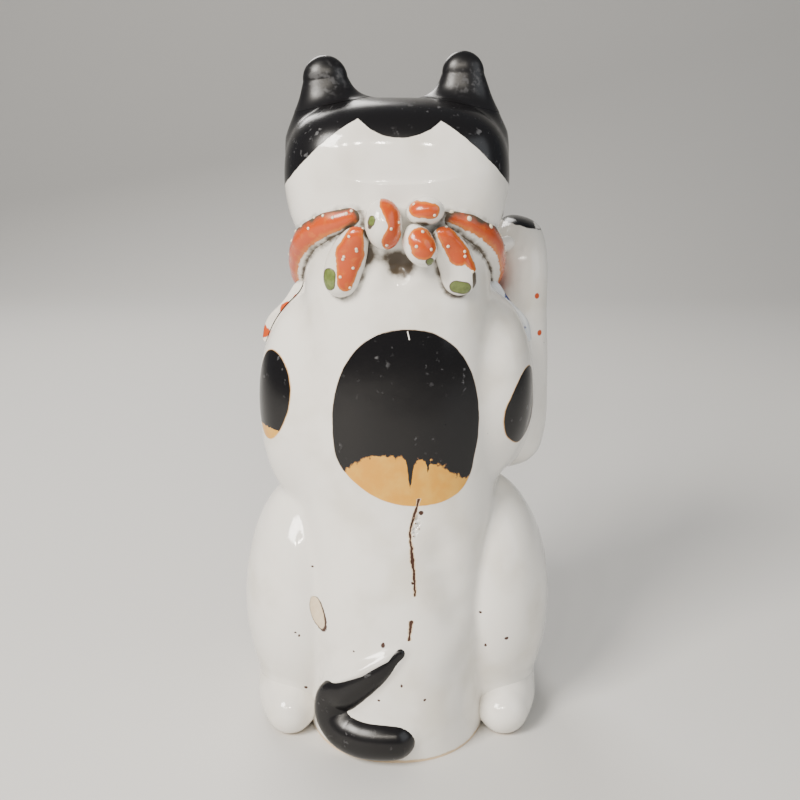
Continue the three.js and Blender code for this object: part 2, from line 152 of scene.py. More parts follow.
# %% Head and ears
TRUNK_TOP, NECK_BOTTOM, NECK_FILLET = 205, 140, 6  # the stretch of trunk that the head blends into
EAR_SEAM_HEIGHT, EAR_SEAM_SLOPE = 238.2, 0.2  # at the middle of the head, and the fall towards the sides
EAR_INNER_EDGE = 9.5  # no part of an ear is nearer the middle than this
EAR_FLATNESS, EAR_FIELD_SCALE = 0.62, 0.8
HEAD_MIDDLE = np.array([0, 0, 206.0])
EARS = {  # root, tip, radius at each
    "left": ([23, -2, 224], [25, -2, 241.5], 14.5, 7.8),
    "right": ([-23, -2, 224], [-23, -2, 243.5], 14.5, 7.3),
}


def ear(p, side):
    """A flattened tapered finger, with an egg-shaped scoop taken out of its front."""
    root, tip, root_radius, tip_radius = EARS[side]
    root, axis = np.array(root, float), np.array(tip, float) - root
    q = (p - root) / [1, EAR_FLATNESS, 1]
    along = np.clip(q @ axis / (axis @ axis), 0, 1)
    finger = (np.linalg.norm(q - along[..., None] * axis, axis=-1)
              - root_radius - along * (tip_radius - root_radius)) * EAR_FIELD_SCALE
    scoop = ellipsoid(p, (tip[0], -11.5, 236), (7.5, 6, 10.5))
    return -smooth_union(-finger, scoop, 3)


def skull(p):
    """A squared ball that narrows towards the jowls."""
    q = p - np.array([0, -3, 206])
    half_width = 40 - 0.12 * np.maximum(-q[..., 2], 0)
    return squared_ellipse((q[..., 0], q[..., 1], q[..., 2]), (half_width, 31, 29.5), 3)


def plain_head(p):
    """The skull joined to the top of the trunk."""
    neck = np.maximum.reduce([trunk(p), p[..., 2] - TRUNK_TOP, NECK_BOTTOM - p[..., 2]])
    return smooth_union(skull(p), neck, NECK_FILLET)


def head(p):
    """The plain head with its muzzle, chin, nose and ears."""
    whole = smooth_union(plain_head(p), ellipsoid(mirrored(p), (8, -31, 195), (11, 9, 8.5)), 6)
    whole = smooth_union(whole, ellipsoid(p, (0, -27, 187), (10, 9, 7)), 5)
    whole = smooth_union(whole, ellipsoid(p, (0, -37, 201), (4.2, 4.5, 3.4)), 4)
    whole = smooth_union(whole, ear(p, "left"), 6)
    return smooth_union(whole, ear(p, "right"), 6)


def reach(field, start, ray, level=0.0, far=90.0, steps=20):
    """Distance along each ray to the skin, by halving the stretch that the skin lies in."""
    near = np.zeros(ray.shape[:-1])
    end = np.full(ray.shape[:-1], far)
    for _ in range(steps):
        middle = (near + end) / 2
        outside = field(start + middle[..., None] * ray) > level
        end = np.where(outside, middle, end)
        near = np.where(outside, near, middle)
    return (near + end) / 2


def skin_normal(field, p, step=0.4):
    """The direction in which the distance grows fastest, by central differences."""
    axes = np.eye(3) * step
    slope = np.stack([field(p + axis) - field(p - axis) for axis in axes], axis=-1)
    return slope / np.maximum(np.linalg.norm(slope, axis=-1, keepdims=True), 1e-9)


# %% [markdown]
# ## From grids to meshes
# Every piece is a grid of points. A closed piece is either a tube whose two end rows shrink
# to a point, or an outer and an inner grid joined round their borders, which is how a moulded
# shell gets its wall. Points that fall together are merged, and sharp rims are marked.

# %% Mesh helpers
def new_piece(name, points, faces, numbers, node, sharp=50):
    """Makes one object from points in millimetres, with one float attribute for each entry of numbers."""
    mesh = bpy.data.meshes.new("fired_" + name)
    mesh.from_pydata(np.asarray(points).reshape(-1, 3) * MM, [], faces)
    for key, values in numbers.items():
        store = mesh.attributes.new(key, "FLOAT", "POINT").data
        store.foreach_set("value", np.ravel(values).astype(np.float32))
    work = bmesh.new()
    work.from_mesh(mesh)
    bmesh.ops.remove_doubles(work, verts=work.verts, dist=2e-6)
    bmesh.ops.recalc_face_normals(work, faces=work.faces)
    work.to_mesh(mesh)
    work.free()
    mesh.polygons.foreach_set("use_smooth", np.ones(len(mesh.polygons), bool))
    mesh.set_sharp_from_angle(angle=math.radians(sharp))
    piece = bpy.data.objects.new("fired_" + name, mesh)
    bpy.context.collection.objects.link(piece)
    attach(piece, "root")
    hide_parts(*([node] if isinstance(node, str) else node))
    low, high = np.min(mesh_points(mesh), axis=0), np.max(mesh_points(mesh), axis=0)
    print(f"{name}: {len(mesh.polygons)} faces, {np.round(low, 1)} to {np.round(high, 1)} mm")
    return piece


def mesh_points(mesh):
    """All vertices of a mesh, in millimetres."""
    flat = np.empty(len(mesh.vertices) * 3, np.float32)
    mesh.vertices.foreach_get("co", flat)
    return flat.reshape(-1, 3).astype(float) / MM


def grid_faces(rows, columns, first=0, wrap=False, flip=False):
    """The four corner numbers of each cell of a grid of points numbered row by row."""
    row, column = np.meshgrid(np.arange(rows - 1), np.arange(columns - (0 if wrap else 1)), indexing="ij")
    right = (column + 1) % columns
    here, below = row * columns, (row + 1) * columns
    corners = [here + column, here + right, below + right, below + column]
    quads = np.stack(corners, axis=-1).reshape(-1, 4) + first
    return quads[:, ::-1] if flip else quads


def shell_faces(rows, columns):
    """An outer grid, an inner grid after it, and the four strips that join their borders."""
    count = rows * columns
    number = np.arange(count).reshape(rows, columns)
    border = np.concatenate([number[0, :-1], number[:-1, -1], number[-1, :0:-1], number[:0:-1, 0]])
    following = np.roll(border, -1)
    rim = np.stack([border, following, following + count, border + count], axis=-1)
    inside = grid_faces(rows, columns, count, flip=True)
    return np.concatenate([grid_faces(rows, columns), inside, rim]).tolist()


def shell_piece(name, outer, inner, numbers, node):
    """A hollow wall between two grids of the same size. Each number is given for the outer grid."""
    rows, columns = outer.shape[:2]
    both = {key: np.concatenate([np.ravel(values)] * 2) for key, values in numbers.items()}
    return new_piece(name, np.stack([outer, inner]), shell_faces(rows, columns), both, node)


def tube_piece(name, grid, numbers, node, sharp=50):
    """A closed tube: columns wrap round, and the first and last rows are single points."""
    faces = grid_faces(*grid.shape[:2], wrap=True).tolist()
    return new_piece(name, grid, faces, numbers, node, sharp)


# %% Limbs and lumps
def unit(v):
    """The vectors at length one."""
    return v / np.maximum(np.linalg.norm(v, axis=-1, keepdims=True), 1e-9)


def smooth_path(points, radii, count=48):
    """Points and radii evenly along a cubic through the given ones."""
    table = np.column_stack([np.asarray(points, float), radii])
    knots = np.concatenate([[0], np.cumsum(np.linalg.norm(np.diff(table[:, :3], axis=0), axis=1) ** 0.5)])
    fine = table_curve(np.linspace(0, knots[-1], 400), knots, table)
    length = np.concatenate([[0], np.cumsum(np.linalg.norm(np.diff(fine[:, :3], axis=0), axis=1))])
    place = np.linspace(0, length[-1], count)
    return np.stack([np.interp(place, length, column) for column in fine.T], axis=-1)


def limb_grid(points, radii, up=(0, 0, 1), flatness=1.0, rows=90, around=72):
    """Rings of radius r(s) across a smooth path; within r of an end the ring shrinks as a round cap does."""
    path = smooth_path(points, radii, 300)
    length = np.concatenate([[0], np.cumsum(np.linalg.norm(np.diff(path[:, :3], axis=0), axis=1))])
    place = (1 - np.cos(np.linspace(0, np.pi, rows))) / 2 * length[-1]
    centre = np.stack([np.interp(place, length, path[:, k]) for k in range(3)], axis=-1)
    radius = np.interp(place, length, path[:, 3])
    to_end = np.minimum(place, length[-1] - place)
    ring = radius * np.sqrt(np.clip(1 - np.clip(1 - to_end / radius, 0, 1) ** 2, 0, 1))
    tangent = unit(np.stack([np.gradient(centre[:, k], place) for k in range(3)], axis=-1))
    across = unit(np.cross(tangent, up))
    above = np.cross(across, tangent)
    angle = np.linspace(0, 2 * np.pi, around, endpoint=False)[None, :, None]
    return (centre[:, None] + ring[:, None, None]
            * (across[:, None] * np.cos(angle) + above[:, None] * np.sin(angle) * flatness))


def lump_grid(centre, radii, turns=(0, 0, 0), rows=72, around=96):
    """An ellipsoid by latitude and longitude, turned about X, then Y, then Z."""
    lat = np.linspace(0, np.pi, rows)[:, None]
    lon = np.linspace(0, 2 * np.pi, around, endpoint=False)[None]
    ball = np.stack([np.sin(lat) * np.cos(lon), np.sin(lat) * np.sin(lon), np.cos(lat) + 0 * lon], axis=-1)
    ball = ball * radii
    for axis, turn in enumerate(turns):
        i, j = (axis + 1) % 3, (axis + 2) % 3
        turned = ball.copy()
        turned[..., i] = math.cos(turn) * ball[..., i] - math.sin(turn) * ball[..., j]
        turned[..., j] = math.sin(turn) * ball[..., i] + math.cos(turn) * ball[..., j]
        ball = turned
    return ball + np.asarray(centre, float)


def grid_normals(grid):
    """Outward normals of a wrapped grid, from its two slopes; an end point takes its own axis."""
    down = np.gradient(grid, axis=0)
    round_ = (np.roll(grid, -1, axis=1) - np.roll(grid, 1, axis=1)) / 2
    normal = unit(np.cross(down, round_))
    middle = grid.mean(axis=1, keepdims=True)
    outward = np.sign(np.sum(normal[1:-1] * (grid - middle)[1:-1]))
    normal *= outward if outward else 1
    normal[0] = unit(middle[0] - middle[2])
    normal[-1] = unit(middle[-1] - middle[-3])
    return normal


def finger_distance(p, path):
    """Distance to a tapered finger: the least, over its short straight stretches, of gap less radius."""
    best = np.full(p.shape[:-1], 1e3)
    for a, b in zip(path[:-1], path[1:]):
        along = b[:3] - a[:3]
        share = np.clip((p - a[:3]) @ along / (along @ along), 0, 1)
        gap = np.linalg.norm(p - a[:3] - share[..., None] * along, axis=-1)
        best = np.minimum(best, gap - a[3] - share * (b[3] - a[3]))
    return best


def fillet_swell(distance, fillet):
    """How far a filled crease lifts a surface that another one passes at this distance."""
    overlap = np.maximum(fillet - np.abs(distance), 0) / fillet
    return overlap**2 * fillet / 4

# %% [markdown]
# ## Where the stuck-on pieces run
# Legs, tail and scarf are rolled or press-moulded coils of solid clay. Each one is a smooth
# path with a thickness at each point. The paths are needed first, because the body and the
# head rise a little to meet whatever is stuck to them, where the slip was wiped smooth.

# %% Paths
def on_back(x, z, lift=0.0):
    """The point of the body's back at this x and z, lifted off it."""
    start = np.array([x, 0.0, z])
    return [x, float(reach(body, start, np.array([0, 1.0, 0]))) + lift, z]


def neck_ring(degrees, lift=1.2):
    """A point of the sloping neck ring, measured round from the nape."""
    angle = math.radians(90 - degrees)
    ray = np.array([math.cos(angle), math.sin(angle) * 0.8, math.sin(angle) * 0.6])
    centre = np.array([0, 0, SPINE])
    return list(centre + (float(reach(body, centre, ray)) + lift) * ray)


BAND_RADII = [3.8, 5.6, 5.8, 5.2, 4.8, 4.6, 4.5, 4.4, 4.4]
TAIL_TIP, TAIL_END = (-2, 45), (-6, 9.5)  # x and z
BEND_X, BEND_Z, BEND_RADIUS = 14, 19, 9.5
bend = [(BEND_X + BEND_RADIUS * math.cos(a), BEND_Z + BEND_RADIUS * math.sin(a))
        for a in np.radians(np.linspace(65, -95, 5))]


def midway(a, b):
    """The point half way between two points."""
    return ((a[0] + b[0]) / 2, (a[1] + b[1]) / 2)


TAIL_ROUTE = [TAIL_TIP, midway(TAIL_TIP, bend[0]), *bend, midway(bend[-1], TAIL_END), TAIL_END]
LIMBS = {  # points, radii, the direction that is up across the limb, flatness that way
    "raised_foreleg": ([(-40, -8, 97), (-44.6, -11, 114), (-47.5, -14, 134), (-48, -16, 158),
                        (-48, -18, 175), (-47.5, -25, 182.5), (-46.5, -36, 181.5), (-46, -42.5, 175)],
                       [13.5, 13.6, 11.2, 9.7, 9.6, 9.4, 9.8, 9.6], (0, 1, 0.35), 1),
    "paw_strut": ([(-32, -9, 180), (-38, -12, 182), (-44, -16, 183)], [3.6, 2.9, 3.6], (0, 0, 1), 1),
    "standing_foreleg": ([(27, -16, 103), (25, -28, 82), (20, -40, 40), (18, -43, 16), (17.5, -52, 8.5)],
                         [13, 14, 11.5, 10.5, 10.5], (1, 0, 0), 1),
    "hind_paw_left": ([(38, 33, 7.4), (44.6, 12, 8.6), (44.8, -20, 9), (42, -46, 8)],
                      [8.6, 10.4, 10.8, 11], (0, 0, 1), 1),
    "hind_paw_right": ([(-38, 33, 7.4), (-44.6, 12, 8.6), (-44.8, -20, 9), (-42, -46, 8)],
                       [8.6, 10.4, 10.8, 11], (0, 0, 1), 1),
    "tail": ([on_back(x, z) for x, z in TAIL_ROUTE],
             [1.2, 4.2, 6.4, 7.2, 7.5, 7.4, 7.2, 6.9, 6], (0, 1, 0), 0.75),
    "scarf_band_left": ([neck_ring(d) for d in np.linspace(19, 177.5, 9)], BAND_RADII, (0, -0.6, 0.8), 1),
    "scarf_band_right": ([neck_ring(-d) for d in np.linspace(24, 177.5, 9)], BAND_RADII, (0, -0.6, 0.8), 1),
    "bow_end_left": ([(11.8, 32.5, 194), on_back(16.8, 183, 2.6), on_back(20.6, 169.8, 2)],
                     [3.6, 6.6, 5.8], (0, 1, 0), 0.72),
    "bow_end_right": ([(-13.5, 32, 193.5), on_back(-19.2, 183, 2.6), on_back(-22.8, 170.2, 2)],
                      [3.6, 6.3, 6], (0, 1, 0), 0.72),
}
LUMPS = {  # centre, radii, turns about X, Y and Z
    "scarf_knot": ((4.4, 33.4, 195.2), (6.4, 7, 8.6), (0.25, 0.12, 0)),
    "bow_loop_upper": ((-9.3, 31.8, 199), (6.6, 5.6, 4.7), (0.3, 0.2, -0.1)),
    "bow_loop_lower": ((-7.4, 33.6, 188.2), (5.5, 5.8, 7.6), (0.2, 0.42, 0.1)),
}


def core_path(points, radii, count=24):
    """The part of a coil's path that is not within its radius of an end, where the round caps start."""
    path = smooth_path(points, radii, 300)
    length = np.concatenate([[0], np.cumsum(np.linalg.norm(np.diff(path[:, :3], axis=0), axis=1))])
    place = np.linspace(path[0, 3], length[-1] - path[-1, 3], count)
    return np.stack([np.interp(place, length, column) for column in path.T], axis=-1)


PATH = {name: core_path(points, radii) for name, (points, radii, _, _) in LIMBS.items()}


def piece_distance(p, name):
    """Distance to a stuck-on piece, whether it is a coil or a lump."""
    if name in LUMPS:
        return ellipsoid(p, *LUMPS[name][:2])
    return finger_distance(p, PATH[name])


SCARF = ["scarf_band_left", "scarf_band_right", "scarf_knot", "bow_loop_lower", "bow_loop_upper",
         "bow_end_left", "bow_end_right"]
SLIP = {"raised_foreleg": 5, "paw_strut": 3, "standing_foreleg": 6, "hind_paw_left": 4, "hind_paw_right": 4,
        "tail": 3, **{name: 1.6 for name in SCARF}}  # width of the wiped slip beside each piece


def dirt_and_shade(p):
    """Dirt and painted shade: one in the creases round the scarf, and more in the thumb hole, fading out over
    two millimetres.
    """
    # the creases round the scarf and the thumb hole are darkened here: partly dirt, partly painted shade
    nearest = np.minimum.reduce([np.abs(piece_distance(p, name)) for name in SCARF])
    hole = np.exp(-((p[..., 0] + 1.3) ** 2 + (p[..., 2] - 180.5) ** 2) / 20) * (p[..., 1] > 0)
    smear = np.exp(-((p[..., 0] - 6.5) ** 2 / 30 + (p[..., 2] - 184) ** 2 / 8)) * (p[..., 1] > 0)
    return np.exp(-np.square(nearest / 1.5)) + 2.2 * hole + 0.9 * smear


def wander(p, size):
    """A slow unevenness between -1 and 1: the mean of four sine waves that run in different ways."""
    waves = [(1, 0.3, 0.5, 0.0), (-0.4, 1, 0.7, 1.7), (0.6, -0.8, 1, 3.1), (0.2, 0.9, -0.9, 4.4)]
    return sum(np.sin((p @ np.array(w[:3])) * 2 * math.pi / size + w[3]) for w in waves) / 4


print("paths:", len(LIMBS), "coils and", len(LUMPS), "lumps")

# %% [markdown]
# ## The two body halves
# Slip is poured into a two-part mould, and drained when a wall of about 4.5 mm has set. The
# halves are luted along the sides. Each half is half a turn of rays from the spine, level by
# level from the floor to the neck, where the levels tilt forward to meet the head. The mould
# was pressed and trimmed by hand, so the skin has a thumb hole at the nape, a soft hump over
# the tail and shallow dents on the rump.

# %% Body shells
def body_rays(first_angle, last_angle, rows=240, columns=170):
    """For each share of the spine and each angle, a start on the spine and a ray in a tilting plane."""
    share = np.linspace(0, 1, rows)[:, None]
    angle = np.linspace(first_angle, last_angle, columns)[None]
    ease = np.clip((share - 0.35) / 0.65, 0, 1)
    tilt = NECK_TILT * ease**2 * (3 - 2 * ease)
    start = np.stack(np.broadcast_arrays(0 * share, 0 * share, SPINE * share + 0 * angle), axis=-1)
    ray = np.stack(np.broadcast_arrays(
        np.cos(angle) + 0 * share, np.sin(angle) * np.cos(tilt), np.sin(angle) * np.sin(tilt)), axis=-1)
    return start, ray


def above_neck(p):
    """Height above the sloping plane where the head sits on the body."""
    return (p - [0, 0, SPINE]) @ np.array([0, -math.sin(NECK_TILT), math.cos(NECK_TILT)])


def body_and_skull(p):
    """The body with the nape filled out to the back of the skull."""
    return smooth_union(body(p), skull(p), 6)


TAIL_HUMP = np.array([[4, 44.5, 42, 2], [12, 44, 37, 4.2], [20, 41.5, 32, 4.4], [27, 37, 25, 2.5]])
THUMB_HOLE = [(-1, 180.5, 4.2, 3.2), (6, 178, 4.5, -1), (-8, 178, 4.5, -1)]  # and its two lips
FLANK = [(-15 - 3.5 * k, 78 - 11 * k, 6.5, 1.5) for k in range(3)]  # a row of press marks
DENTS = THUMB_HOLE + FLANK + [(-23, 32, 8, 1.4), (8, 66, 9, 0.5), (24, 92, 8, 0.6)]  # x, z, reach, depth


def body_relief(p):
    """How far the skin lies off the plain mould: slip beside the pieces, a hump, dents, unevenness."""
    rise = sum(fillet_swell(piece_distance(p, name), width) for name, width in SLIP.items())
    rise = rise - smooth_union(finger_distance(p, TAIL_HUMP), 0.0, 7)
    behind = np.clip(p[..., 1] / 10, 0, 1)
    for x, z, size, depth in DENTS:
        rise = rise - depth * behind * np.exp(-((p[..., 0] - x) ** 2 + (p[..., 2] - z) ** 2) / size**2)
    return rise - 0.25 + 0.25 * wander(p, 46)


for half, first in {"back": 0, "front": math.pi}.items():
    start, ray = body_rays(first + 0.0005, first + math.pi - 0.0005)
    mould = start + reach(body_and_skull, start, ray)[..., None] * ray
    inner = start + reach(body, start, ray, -WALL)[..., None] * ray
    fade = np.clip(-above_neck(mould) / 3, 0, 1)
    outer = mould + (fade * body_relief(mould))[..., None] * skin_normal(body_and_skull, mould)
    outer[0, :, 2] = 0
    outer[:, [0, -1]] = np.where([True, False, True], outer[:, [0, -1]], mould[:, [0, -1]])
    shell_piece(f"body_{half}", outer, inner, {"dirt_and_shade": dirt_and_shade(outer)}, f"body_{half}_shell")

# %% [markdown]
# ## The base plate
# A slab of rolled clay closes the foot. It is left bare, as the figure stands on it in the
# kiln, and it has a small hole through which the air inside can leave as it is fired.

# %% Base plate
VENT = np.array([14, 16, 0.0])
PLATE_THICKNESS = 5
turn = np.linspace(0, 2 * math.pi, 144, endpoint=False)
flat_ray = np.stack([np.cos(turn), np.sin(turn), 0 * turn], axis=-1)
loops = []
for height in (PLATE_THICKNESS, 0):
    middle = VENT + [0, 0, max(height, 0.01)]
    edge = middle + reach(body, middle, flat_ray, -WALL - 0.35)[..., None] * flat_ray
    hole = middle + 3.2 * flat_ray
    loops.append([hole * (1 - s) + edge * s for s in (0, 0.04, 0.5, 0.97, 1)])
plate = np.array(loops[0] + loops[1][::-1])
plate[5:, :, 2] = 0.02
plate_faces = np.concatenate([grid_faces(10, 144, wrap=True),
                              np.stack([np.arange(144) + 9 * 144, (np.arange(144) + 1) % 144 + 9 * 144,
                                        (np.arange(144) + 1) % 144, np.arange(144)], axis=-1)])
new_piece("base_plate", plate, plate_faces.tolist(), {}, "base_slab", sharp=40)

# %% [markdown]
# ## The head
# Two more moulded halves, with the muzzle, chin and nose pressed in. The rays start in the
# middle of the skull. Under each ear the skin stops at a slanting seam, where a solid ear is
# luted on. A solid ear doesn't warp in the kiln as a thin hollow one would.

# %% Head shells
def above_ear_seam(p):
    """Height above the seam under an ear, which only exists away from the middle of the head."""
    off_middle = np.abs(p[..., 0])
    return np.minimum(p[..., 2] - EAR_SEAM_HEIGHT + EAR_SEAM_SLOPE * off_middle, off_middle - EAR_INNER_EDGE)


def head_without_ears(p):
    """The head, less all that lies above the two ear seams."""
    return np.maximum(head(p), above_ear_seam(p))


def head_rays(first_angle, last_angle, rows=210, columns=180):
    """Rays from the middle of the skull, from straight up to the plane of the neck seam."""
    angle = np.linspace(first_angle, last_angle, columns)
    top, bottom = np.zeros(columns), np.full(columns, math.pi)

    def ray_at(theta):
        return np.stack(np.broadcast_arrays(
            np.sin(theta) * np.cos(angle), np.sin(theta) * np.sin(angle), np.cos(theta)), axis=-1)

    for _ in range(18):
        middle = (top + bottom) / 2
        ray = ray_at(middle)
        above = above_neck(HEAD_MIDDLE + reach(head, HEAD_MIDDLE, ray)[..., None] * ray) > 0.02
        top, bottom = np.where(above, middle, top), np.where(above, bottom, middle)
    return ray_at(np.linspace(0.0, 1.0, rows)[:, None] * top[None])


def head_relief(p):
    """Slip beside the scarf, two shallow eye hollows and a slow unevenness."""
    rise = sum(fillet_swell(piece_distance(p, name), 1.6) for name in SCARF + ["paw_strut"])
    front = np.clip(-p[..., 1] / 10, 0, 1)
    hollow = np.exp(-((np.abs(p[..., 0]) - 16) ** 2 + (p[..., 2] - 206) ** 2) / 60)
    return rise - 0.9 * front * hollow - 0.2 + 0.2 * wander(p, 38)


for half, first in {"back": 0, "front": math.pi}.items():
    ray = head_rays(first + 0.0005, first + math.pi - 0.0005)
    mould = HEAD_MIDDLE + reach(head_without_ears, HEAD_MIDDLE, ray)[..., None] * ray
    inner = HEAD_MIDDLE + reach(plain_head, HEAD_MIDDLE, ray, -WALL)[..., None] * ray
    free = np.clip(-above_ear_seam(mould) / 2, 0, 1) * np.clip(above_neck(mould) / 1.5, 0, 1)
    outer = mould + (head_relief(mould) * free)[..., None] * skin_normal(head, mould)
    outer[:, [0, -1]] = np.where([True, False, True], outer[:, [0, -1]], mould[:, [0, -1]])
    outer[0] = outer[0, 0]
    inner[0] = inner[0, 0]
    shell_piece(f"head_{half}", outer, inner, {"dirt_and_shade": dirt_and_shade(outer)}, f"head_{half}_shell")

# %% Ears
LUTING_DEPTH = 0.6  # the rays start this far under the seam
for side, name in ((1, "left"), (-1, "right")):
    root = EARS[name][0]
    seam_height = EAR_SEAM_HEIGHT - EAR_SEAM_SLOPE * abs(root[0])
    middle = np.array([root[0], root[1], seam_height - LUTING_DEPTH])
    seam_normal = unit(np.array([side * EAR_SEAM_SLOPE, 0, 1.0]))
    lean = unit(np.cross([0, 1.0, 0], seam_normal))
    lat = np.linspace(0, math.pi / 2, 90)[:, None]
    lon = np.linspace(0, 2 * math.pi, 120, endpoint=False)[None]
    ray = (np.cos(lat)[..., None] * seam_normal + (np.sin(lat) * np.cos(lon))[..., None] * lean
           + (np.sin(lat) * np.sin(lon))[..., None] * np.array([0, 1.0, 0]))

    def own_side(p):
        """The head, less the half that the other ear is on."""
        return np.maximum(head(p), EAR_INNER_EDGE + 0.1 - side * p[..., 0])

    skin = middle + (reach(own_side, middle, ray, far=24) + 0.04)[..., None] * ray
    grid = np.concatenate([skin, np.broadcast_to(middle, (1,) + skin.shape[1:])])
    tube_piece(f"ear_{name}", grid, {}, f"ear_{name}", sharp=60)

# %% [markdown]
# ## Legs and tail
# The raised foreleg stands clear of the head and is held to it by a short strut, without
# which it would sag in the kiln. Three shallow grooves mark the toes of each paw.

# %% Coils of clay
TOES = {  # the paw's end and the axis that the toes are spread along
    "raised_foreleg": ((-46, -50, 170), (1, 0, 0)), "standing_foreleg": ((17.5, -62, 6), (1, 0, 0)),
    "hind_paw_left": ((42, -57, 7), (1, 0, 0)), "hind_paw_right": ((-42, -57, 7), (1, 0, 0)),
}


def toe_grooves(p, name):
    """Three grooves, 0.8 mm deep, that fade out 13 mm from the end of the paw."""
    end, spread = (np.array(v, float) for v in TOES[name])
    near = np.clip(1.6 - np.linalg.norm(p - end, axis=-1) / 10, 0, 1)
    across = (p - end) @ spread
    return -0.8 * near * sum(np.exp(-np.square((across - k) / 0.9)) for k in (-4.5, 0, 4.5))


def coil_numbers(grid):
    """Share along the coil, and the cosine and sine of the angle round it, at each vertex."""
    rows, columns = grid.shape[:2]
    turn = np.linspace(0, 2 * np.pi, columns, endpoint=False)
    along, angle = np.meshgrid(np.linspace(0, 1, rows), turn, indexing="ij")
    return {"along": along, "round_x": np.cos(angle), "round_y": np.sin(angle)}


def tidy_foot(grid):
    """No point may pass below the floor."""
    grid[..., 2] = np.maximum(grid[..., 2], 0.05)
    return grid


for name in ("raised_foreleg", "paw_strut", "standing_foreleg", "hind_paw_left", "hind_paw_right", "tail"):
    points, radii, up, flatness = LIMBS[name]
    grid = limb_grid(points, radii, up, flatness, rows=150, around=110)
    normal = grid_normals(grid)
    rise = fillet_swell(body(grid), SLIP[name]) + 0.12 * wander(grid, 24) - 0.12
    if name in TOES:
        rise = rise + toe_grooves(grid, name)
    rise[[0, -1]] = rise[[0, -1]].mean(axis=1, keepdims=True)
    if name == "raised_foreleg":  # the wrist is pressed flat on top, and slopes outward
        limit = 194.6 - 0.3 * np.abs(grid[..., 0] + 41)
        grid[..., 2] = smooth_union(grid[..., 2], limit, 3.0)
    node_slot = "black_glaze" if name == "tail" else "white_glaze"
    tube_piece(name, tidy_foot(grid + rise[..., None] * normal), coil_numbers(grid), name)

# %% [markdown]
# ## The tied scarf
# Two coils run round the neck from the knot to the bell. At the nape a knot, two loops and
# two ends are pressed on. The cloth is painted as orange tie-dye: patches of iron-red enamel
# on the white glaze, with small raised dots of cream enamel.

# %% Scarf pieces
PAINT = {  # strokes of enamel seen from behind: kind, start (x, z), end (x, z), radius at each
    "scarf_knot": [("orange", (2.2, 201.8), (0.8, 195.4), 3.5, 1.9),
                   ("orange", (0.8, 195.4), (1.8, 190), 1.9, 3.3),
                   ("green", (8.0, 197.2), (8.4, 196), 0.9, 0.9),
                   ("dark", (8.6, 195.4), (8.8, 194.6), 0.5, 0.3)],
    "bow_loop_upper": [("orange", (-6.4, 200.2), (-11.2, 199.6), 2.6, 2.6)],
    "bow_loop_lower": [("orange", (-7.4, 190.6), (-8.6, 188.2), 3.8, 4.2),
                       ("green", (-10.9, 183.2), (-11.6, 182.6), 1.2, 1.0),
                       ("dark", (-10.2, 183.4), (-11.2, 181.8), 0.6, 0.5)],
    "bow_end_left": [("orange", (13.2, 193.2), (15.7, 185), 2.4, 4.9),
                     ("orange", (15.7, 185), (17.4, 175), 4.9, 2.7),
                     ("green", (22.6, 178), (22.9, 174.6), 1.9, 1.9)],
    "bow_end_right": [("orange", (-15.6, 192.6), (-20.6, 184.6), 2.7, 3.7),
                      ("orange", (-22.4, 184.4), (-26, 179.4), 2.2, 0.8),
                      ("green", (-19.9, 173.7), (-22.8, 173.1), 2.0, 2.1),
                      ("dark", (-26, 178), (-26.4, 173), 0.3, 0.4)],
}


def stroke_depth(p, start, end, first, last):
    """How deep inside a brush stroke a point lies, seen from behind: radius less distance to its line."""
    start, end = np.array(start, float), np.array(end, float)
    q = p[..., [0, 2]]
    along = end - start
    share = np.clip((q - start) @ along / max(along @ along, 1e-6), 0, 1)
    return first + share * (last - first) - np.linalg.norm(q - start - share[..., None] * along, axis=-1)


def paint_numbers(grid, name, normal):
    """For each enamel colour, the depth inside its strokes; nothing is painted on the hidden side."""
    hidden = 4 * np.clip(0.15 - normal[..., 1], 0, 1)
    numbers = {}
    for kind in ("orange", "green", "dark"):
        depths = [stroke_depth(grid, *s[1:]) for s in PAINT.get(name, []) if s[0] == kind]
        numbers[kind] = (np.maximum.reduce(depths) if depths else np.full(grid.shape[:2], -3.0)) - hidden
    return numbers


scarf_grid, dot_places = {}, []
for name in SCARF:
    if name in LUMPS:
        grid = lump_grid(*LUMPS[name], rows=90, around=120)
    else:
        points, radii, up, flatness = LIMBS[name]
        grid = limb_grid(points, radii, up, flatness, rows=240 if "band" in name else 110, around=96)
    normal = grid_normals(grid)
    rise = 0.25 * wander(grid, 11) - 0.2 + 0.5 * fillet_swell(np.minimum(body(grid), head(grid)), 1.6)
    rise[[0, -1]] = rise[[0, -1]].mean(axis=1, keepdims=True)
    grid = grid + rise[..., None] * normal
    numbers = paint_numbers(grid, name, normal)
    if "band" in name:  # a long patch over the upper two thirds of the coil, white below
        share = coil_numbers(grid)
        outward = share["round_x"] * (-1 if name.endswith("left") else 1)
        cover = 0.35 if name.endswith("left") else 0.1
        bare_end = 0.5 * (share["along"] < 0.02)
        numbers["orange"] = 3.6 * (share["round_y"] * 0.5 + outward * 0.6 + cover - bare_end)
    # painted shade and dirt in the creases where this piece meets the other scarf pieces, the body and the
    # head
    others = [piece_distance(grid, other) for other in SCARF if other != name]
    crease = np.minimum.reduce([np.abs(d) for d in others] + [np.abs(body(grid)), np.abs(head(grid))])
    numbers["dirt_and_shade"] = np.exp(-np.square(crease / 1.1))
    scarf_grid[name] = (grid, normal, numbers)
    tube_piece(name, grid, numbers, name)
print("scarf:", len(SCARF), "pieces")

# %% [markdown]
# ## Raised dots
# Thick cream enamel dropped from a brush tip. Each dot is a low dome of a few faces. They
# stand in wandering rows along the orange patches.

